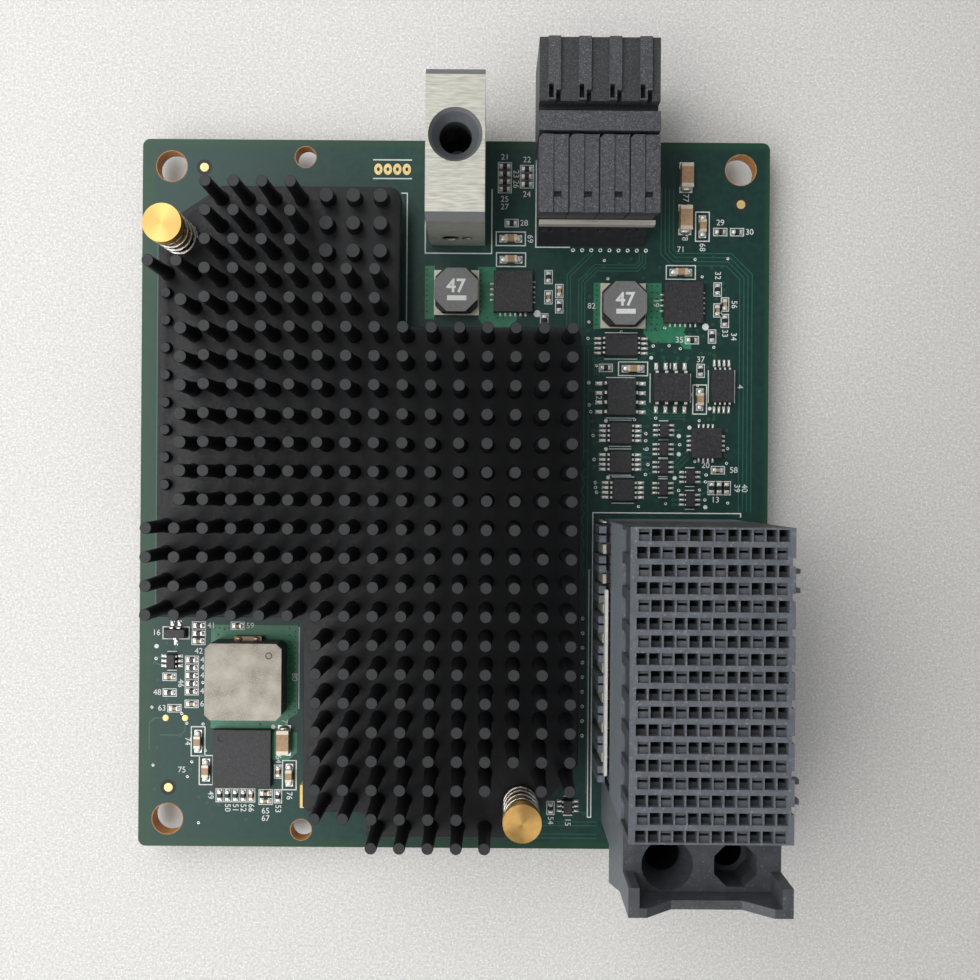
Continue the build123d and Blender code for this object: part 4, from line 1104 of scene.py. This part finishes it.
bundles = [
    (4, 0.55, [(28.3, 37.0), (28.3, 28.6), (29.3, 27.6), (36.6, 27.6), (38.9, 25.3), (38.9, -6.2)]),
    (2, 0.45, [(18.1, 28.4), (18.0, 28.2), (15.15, 25.35), (15.15, 18.6)]),
    (3, 0.42, [(25.0, 28.4), (25.0, 27.2), (24.2, 26.4), (18.8, 26.4), (16.9, 24.5), (16.9, 18.4)]),
    (2, 0.55, [(17.6, 15.5), (17.6, 0.8)]),
    (1, 0.55, [(17.9, 0.8), (17.9, -44.0)]),
    (3, 0.34, [(19.0, 12.0), (19.0, 13.6), (19.4, 14.0), (24.6, 14.0), (25.4, 14.8)]),
    (3, 0.36, [(24.6, 7.6), (25.4, 7.6), (26.4, 6.6), (30.8, 6.6)]),
    (3, 0.62, [(24.2, 1.0), (26.4, 1.0)]),
    (3, 0.50, [(29.5, -0.2), (31.0, 1.3)]),
    (2, 0.60, [(-39.6, 30.0), (-39.6, -20.0)]),
    (2, 0.50, [(10.8, -48.1), (19.4, -48.1)]),
    (2, 0.52, [(10.8, -49.75), (19.4, -49.75)]),
    (1, 0.40, [(-38.4, -34.3), (-39.9, -34.3), (-40.6, -35.0), (-40.6, -38.6)]),
    (1, 0.40, [(-35.8, -34.3), (-35.8, -36.0), (-36.4, -36.6), (-39.2, -36.6)]),
]
for count, pitch, path in bundles:
    for k in range(count):
        trace(beside(path, (k - (count - 1) / 2) * pitch))
wave_l, wave_half = 2.0, 0.2
trace([(17.25 + wave_half * math.sin(2 * math.pi * y / wave_l), -y) for y in (k * 0.25 for k in range(2, 62))])
print(len(bundles), "bundles of traces")

# %% [markdown]
# ## Vias, test lands and fiducials
# A via is a small plated hole: a bright or mask-green ring with a dark middle. Where there is room, most leads end
# in a short trace with one. Test lands are bare round pads, and the fiducials that a placing machine looks for are
# gold dots in a dark clearing. A seeded random choice keeps the same vias on each run.

# %% Vias
chance = random.Random(8)
most_vias, tries = 105, 900


def via(x, y, r=0.22, bare=True):
    ring(joints if bare else traces, x, y, r * 0.5, r, layer_z, deck + 0.02, 14)
    dot(x, y, r * 0.5)


for lead in all_leads:
    length = lead.reach + chance.uniform(0.75, 1.3)
    side = chance.choice((-0.35, 0, 0, 0.35))
    end = step(step(lead.edge, lead.out, length), (abs(lead.out[1]), abs(lead.out[0])), side)
    if chance.random() < 0.9 and is_free(*around(*end, 0.2), 0.05):
        trace([step(lead.edge, lead.out, lead.reach + 0.2), end], 0.16)
        via(*end, bare=chance.random() < 0.45)
        taken.append(around(*end, 0.25))
scattered = 0
for k in range(tries):
    window = open_windows[chance.choice((0, 0, 0, 1))]
    x, y = chance.uniform(window[0], window[2] - 3.4), chance.uniform(window[1], window[3])
    if scattered < most_vias and is_free(*around(x, y, 0.25), 0.12):
        via(x, y, 0.2, bare=chance.random() < 0.35)
        taken.append(around(x, y, 0.3))
        scattered += 1
for k in range(9):
    via(15.7 + 1.22 * k, 28.75, 0.27)
    via(17.35, -20.6 - 1.96 * k, 0.24)
print(scattered, "loose vias; the others end leads or stand in two rows")

# %% Gold lands
land_gold = finish("land_gold", (0.66, 0.48, 0.18), (0.80, 0.62, 0.29), 0.38, 2.0, metal=0.45, bump=0.05)
gold = bmesh.new()
fiducials = [(-33.75, 39.5), (38.15, 35.0), (-38.0, -43.6)]
test_lands = [(-38.4, -34.3), (-35.8, -34.3)]
header_holes = [(-8.55 + (k - 1.5) * 1.27, 39.4) for k in range(4)]
for spot in fiducials:
    disc(gold, *spot, 0.58, layer_z, deck + 0.015, 24)
    ring(holes, *spot, 0.62, 1.05, layer_z, deck + 0.006, 28)
for spot in test_lands:
    turned(gold, *spot, [(0.42, layer_z), (0.42, deck + 0.03), (0.3, deck + 0.05)], 20)
for spot in header_holes:
    ring(gold, *spot, 0.20, 0.56, layer_z, deck + 0.02, 24, stretch=1.35)
    disc(holes, *spot, 0.3, deck - 0.005, deck + 0.012, 18)
print(len(fiducials) + len(test_lands) + len(header_holes), "gold lands")

# %% Lands of the leadless packages
def land_row(s, way, count, pitch, size=(0.62, 0.26)):
    """Tinned lands that stick out under one side of a flat package, each with a little solder."""
    reach = (s.w if way[0] else s.l) / 2 + 0.16
    for k in range(count):
        along_side = (k - (count - 1) / 2) * pitch
        spot = step(step(s, way, reach), (abs(way[1]), abs(way[0])), along_side)
        tinned_pad(*spot, *laid(way[0], *size), 0.16)
        taken.append(around(*spot, 0.35))


for way in ((1, 0), (-1, 0), (0, 1), (0, -1)):
    land_row(solids_of("quad_package")[0], way, 4, 0.62, (0.8, 0.3))
for s in solids_of("regulators"):
    land_row(s, (-1, 0), 4, 0.72)
    land_row(s, (0, -1), 6, 0.68)
    land_row(s, (1, 0), 5, 0.68, (0.4, 0.2))
print("lands set round", 1 + len(solids_of("regulators")), "leadless packages")

# %% [markdown]
# ## Printed lines
# White ink marks outlines round the parts and a dot at each first lead. The ink is a thin layer with soft patches,
# so strips of it lie on the mask. Only shapes and plain running numbers are printed.

# %% Silk print
silk_ink = finish("silk_ink", (0.50, 0.53, 0.51), (0.70, 0.73, 0.71), 0.6, 9.0, bump=0.2)
ink = bmesh.new()
print_z = deck + 0.03
thin_line = 0.12


def ink_line(points, closed=False, width=0.15):
    strip(ink, points, width, layer_z, print_z, closed)
    taken.extend(span(p, q, 0.1) for p, q in zip(points, points[1:]))


chips, medium = chip_resistors + chip_capacitors, solids_of("medium_capacitors")
for parts, gaps, width in ((chips, (0.78, 0.5), 0.1), (medium, (3.0, 0.98), 0.14)):
    for s in parts:
        more_w, more_l = laid(s.w > s.l, *gaps)
        outline = s.x, s.y, s.w + more_w, s.l + more_l
        ink_line(rectangle(*outline), closed=True, width=width)
        taken.append(footprint(*outline))
body_gap = 0.26
for s in (s for node in body_nodes[:4] for s in solids_of(node)):
    leads_along_x = next(lead.out[0] for lead in all_leads if lead.body == s)
    x0, y0, x1, y1 = footprint(*s[:4])
    if leads_along_x:
        lines = [[(x0, y), (x1, y)] for y in (y0 - body_gap, y1 + body_gap)]
    else:
        lines = [[(x, y0), (x, y1)] for x in (x0 - body_gap, x1 + body_gap)]
    for line in lines:
        ink_line(line, width=thin_line)
three_lead = solids_of("sot23_package")[0]
ink_line(rectangle(three_lead.x, three_lead.y, three_lead.w + 0.6, three_lead.l + 0.3), closed=True, width=thin_line)
ink_line([(-20.6, -22.0), (-20.6, -33.0)], width=thin_line)
long_lines = [
    [(38.4, -6.9), (38.4, -6.4), (18.6, -6.4), (18.6, -47.2), (18.15, -47.2), (18.15, -14.0)],
    [(10.7, 43.0), (10.7, 29.1), (15.3, 29.1)],
    [(-7.35, 36.2), (-6.55, 36.2), (-6.55, 18.0), (15.8, 18.0)],
    [(-4.1, 32.6), (-4.1, 28.2), (4.8, 28.2), (4.8, 36.8)],
    [(-11.15, 38.15), (-5.95, 38.15)],
    [(-11.15, 40.65), (-5.95, 40.65)],
]
for line in long_lines:
    ink_line(line)
for x, y, r in first_lead_dots:
    disc(ink, x, y, r, layer_z, print_z, 18)
print(len(chips) + len(medium), "parts outlined and", len(first_lead_dots), "first leads marked")

# %% Running numbers beside the parts
def digits(number, x, y, size, quarter_turn=False, z=deck, bm=ink, weight=0.0):
    """Plain digits as flat ink, upright or turned a quarter."""
    curve = bpy.data.curves.new("number", "FONT")
    curve.body = str(number)
    curve.size = size * MM
    curve.offset = weight * MM
    curve.align_x, curve.align_y = "CENTER", "CENTER"
    curve.extrude = 0.01 * MM
    text = bpy.data.objects.new("number", curve)
    mesh = bpy.data.meshes.new_from_object(text)
    turn = Matrix.Rotation(-math.pi / 2 if quarter_turn else 0, 4, "Z")
    mesh.transform(Matrix.Translation((x * MM, y * MM, (z + 0.012) * MM)) @ turn)
    bm.from_mesh(mesh)
    bpy.data.objects.remove(text)
    bpy.data.meshes.remove(mesh)
    bpy.data.curves.remove(curve)


def number_spots(s, text_w, text_l=0.86):
    """Boxes for a number beside a part, nearest first, and whether it is turned a quarter there."""
    level_ways, upright_ways = [(-1, 0), (1, 0)], [(0, 1), (0, -1)]
    for gap in (0.55, 0.75, 1.0, 1.3, 1.7, 2.2):
        for quarter_turn in (s.l > s.w, s.l <= s.w):
            w, l = laid(not quarter_turn, text_w, text_l)
            for way in (upright_ways[::-1] + level_ways if quarter_turn else level_ways + upright_ways):
                x = s.x + way[0] * (s.w / 2 + w / 2 + gap)
                y = s.y + way[1] * (s.l / 2 + l / 2 + gap)
                yield (x, y, w, l), quarter_turn


digit_w, number_size = 0.62, 1.1
numbered = [node for node in part_nodes if not any(word in node for word in ("lead", "ends", "straps"))]
parts = [s for node in numbered for s in solids_of(node)]
for count, s in enumerate(parts, 1):
    for box, quarter_turn in number_spots(s, digit_w * len(str(count))):
        if is_free(*footprint(*box), 0.02):
            digits(count, *box[:2], number_size, quarter_turn)
            taken.append(footprint(*box))
            break
print(len(parts), "numbered parts")

# %% [markdown]
# ## Lands on the underside
# Both connectors are pressed into plated holes, so the underside shows a grid of small rings below each of them.
# The grid of the tall connector follows its pockets; the rings are washers with a dark disc in the middle.

# %% Rings below the connectors
under_z = board_low.z
first_row_y, row_pitch, row_count = 31.6, 1.5, 4
grid = [(s.x, s.y) for s in slots] + header_holes
for node in edge_modules:
    module = solids_of(node)[0]
    for x in (module.x - module.w / 4, module.x + module.w / 4):
        grid += [(x, first_row_y + row_pitch * k) for k in range(row_count)]
for spot in grid:
    ring(gold, *spot, 0.17, 0.36, under_z - 0.02, under_z + 0.01, 12)
    disc(holes, *spot, 0.18, under_z - 0.012, under_z + 0.005, 12)
print(len(grid), "lands below the connectors")

# %% Put the board's fine pieces together
choke_ink = bmesh.new()
for s in solids_of("small_choke_cores"):
    digits(47, s.x, s.y + 0.42, 2.5, z=s.z1, bm=choke_ink, weight=0.05)
    slab(choke_ink, s.x + 0.1, s.y - 1.1, 2.55, 0.64, s.z1 - 0.01, s.z1 + 0.02)
piece(choke_ink, "choke_numbers", silk_ink)
piece(pours, "copper_pours", pour_mask)
piece(traces, "copper_traces", trace_mask)
piece(ink, "silk_print", silk_ink)
piece(pads, "solder_pads", lead_tin)
piece(joints, "solder_joints", solder, smooth=True)
piece(gold, "gold_lands", land_gold)
piece(holes, "via_holes", hole_dark)

# %% [markdown]
# ## Floor, light and camera
# The card lies on a pale, finely speckled table under soft light that is stronger from the left. Large area
# lamps give the mask its greyish sheen on that side. The board's own shadow would darken what shows through its
# holes, so the table is painted paler in a round below each of them. The camera looks straight down, a hand's
# width and a half above the board.

# %% Table
table = speckled("pale_table", (0.47, 0.46, 0.447), (0.70, 0.69, 0.67), (0.80, 0.79, 0.77), 0.7, 2.8, 4.2, 0.58)
dimmer_from, dimmer_to, paler_beyond = 20, 75, 0.8
# painted shade: the table is painted dimmer towards the right, away from the brighter lamp
tint(table, (0.84, 0.83, 0.82), past(table, "X", dimmer_from, dimmer_to), how="MULTIPLY")
for x, y, r in board_holes:
    tint(table, (0.96, 0.96, 0.95), near_axis(table, x, y, r + paler_beyond))
bm = bmesh.new()
bmesh.ops.create_grid(bm, x_segments=8, y_segments=8, size=0.9)
table_top = to_object(bm, "table_top")
table_top.location.z = -0.02 * MM
table_top.data.materials.append(table)
print("the table is", round(table_top.dimensions.x, 2), "m wide")

# %% Lamps and world
lamps = [
    ("window_side", (-0.27, 0.02, 0.36), (0.9, 0.40), 3.6),
    ("room_front", (0.10, -0.65, 0.45), (0.8, 0.4), 1.3),
    ("room_back", (0.05, 0.70, 0.45), (0.8, 0.4), 1.3),
]
for name, spot, size, power in lamps:
    light = bpy.data.lights.new(name, "AREA")
    light.shape = "RECTANGLE"
    light.size, light.size_y = size
    light.energy = power
    lamp = bpy.data.objects.new(name, light)
    lamp.location = spot
    lamp.rotation_euler = (-Vector(spot)).to_track_quat("-Z", "Y").to_euler()
    bpy.context.collection.objects.link(lamp)
scene = bpy.context.scene
scene.world = bpy.data.worlds.new("room")
scene.world.use_nodes = True
feed(scene.world.node_tree.nodes["Background"], Color=(0.95, 0.98, 1.0, 1), Strength=0.27)
scene.view_settings.view_transform = "Standard"
print(len(lamps), "soft lamps")

# %% Camera
picture_px, lowered_px, turned_degrees = 980, 5, 0.41
lens_x, lens_y, lens_z = 4.8, -2.8, 146.36
lens = bpy.data.cameras.new("overhead")
lens.sensor_width = 36
lens.lens = 38.94
lens.shift_y = -lowered_px / picture_px
lens.clip_start = 0.01
overhead = bpy.data.objects.new("overhead", lens)
overhead.location = (lens_x * MM, lens_y * MM, lens_z * MM)
overhead.rotation_euler = (0, 0, math.radians(turned_degrees))
bpy.context.collection.objects.link(overhead)
scene.camera = overhead
print("the camera is", round(overhead.location.z / MM - deck), "mm above the mask")
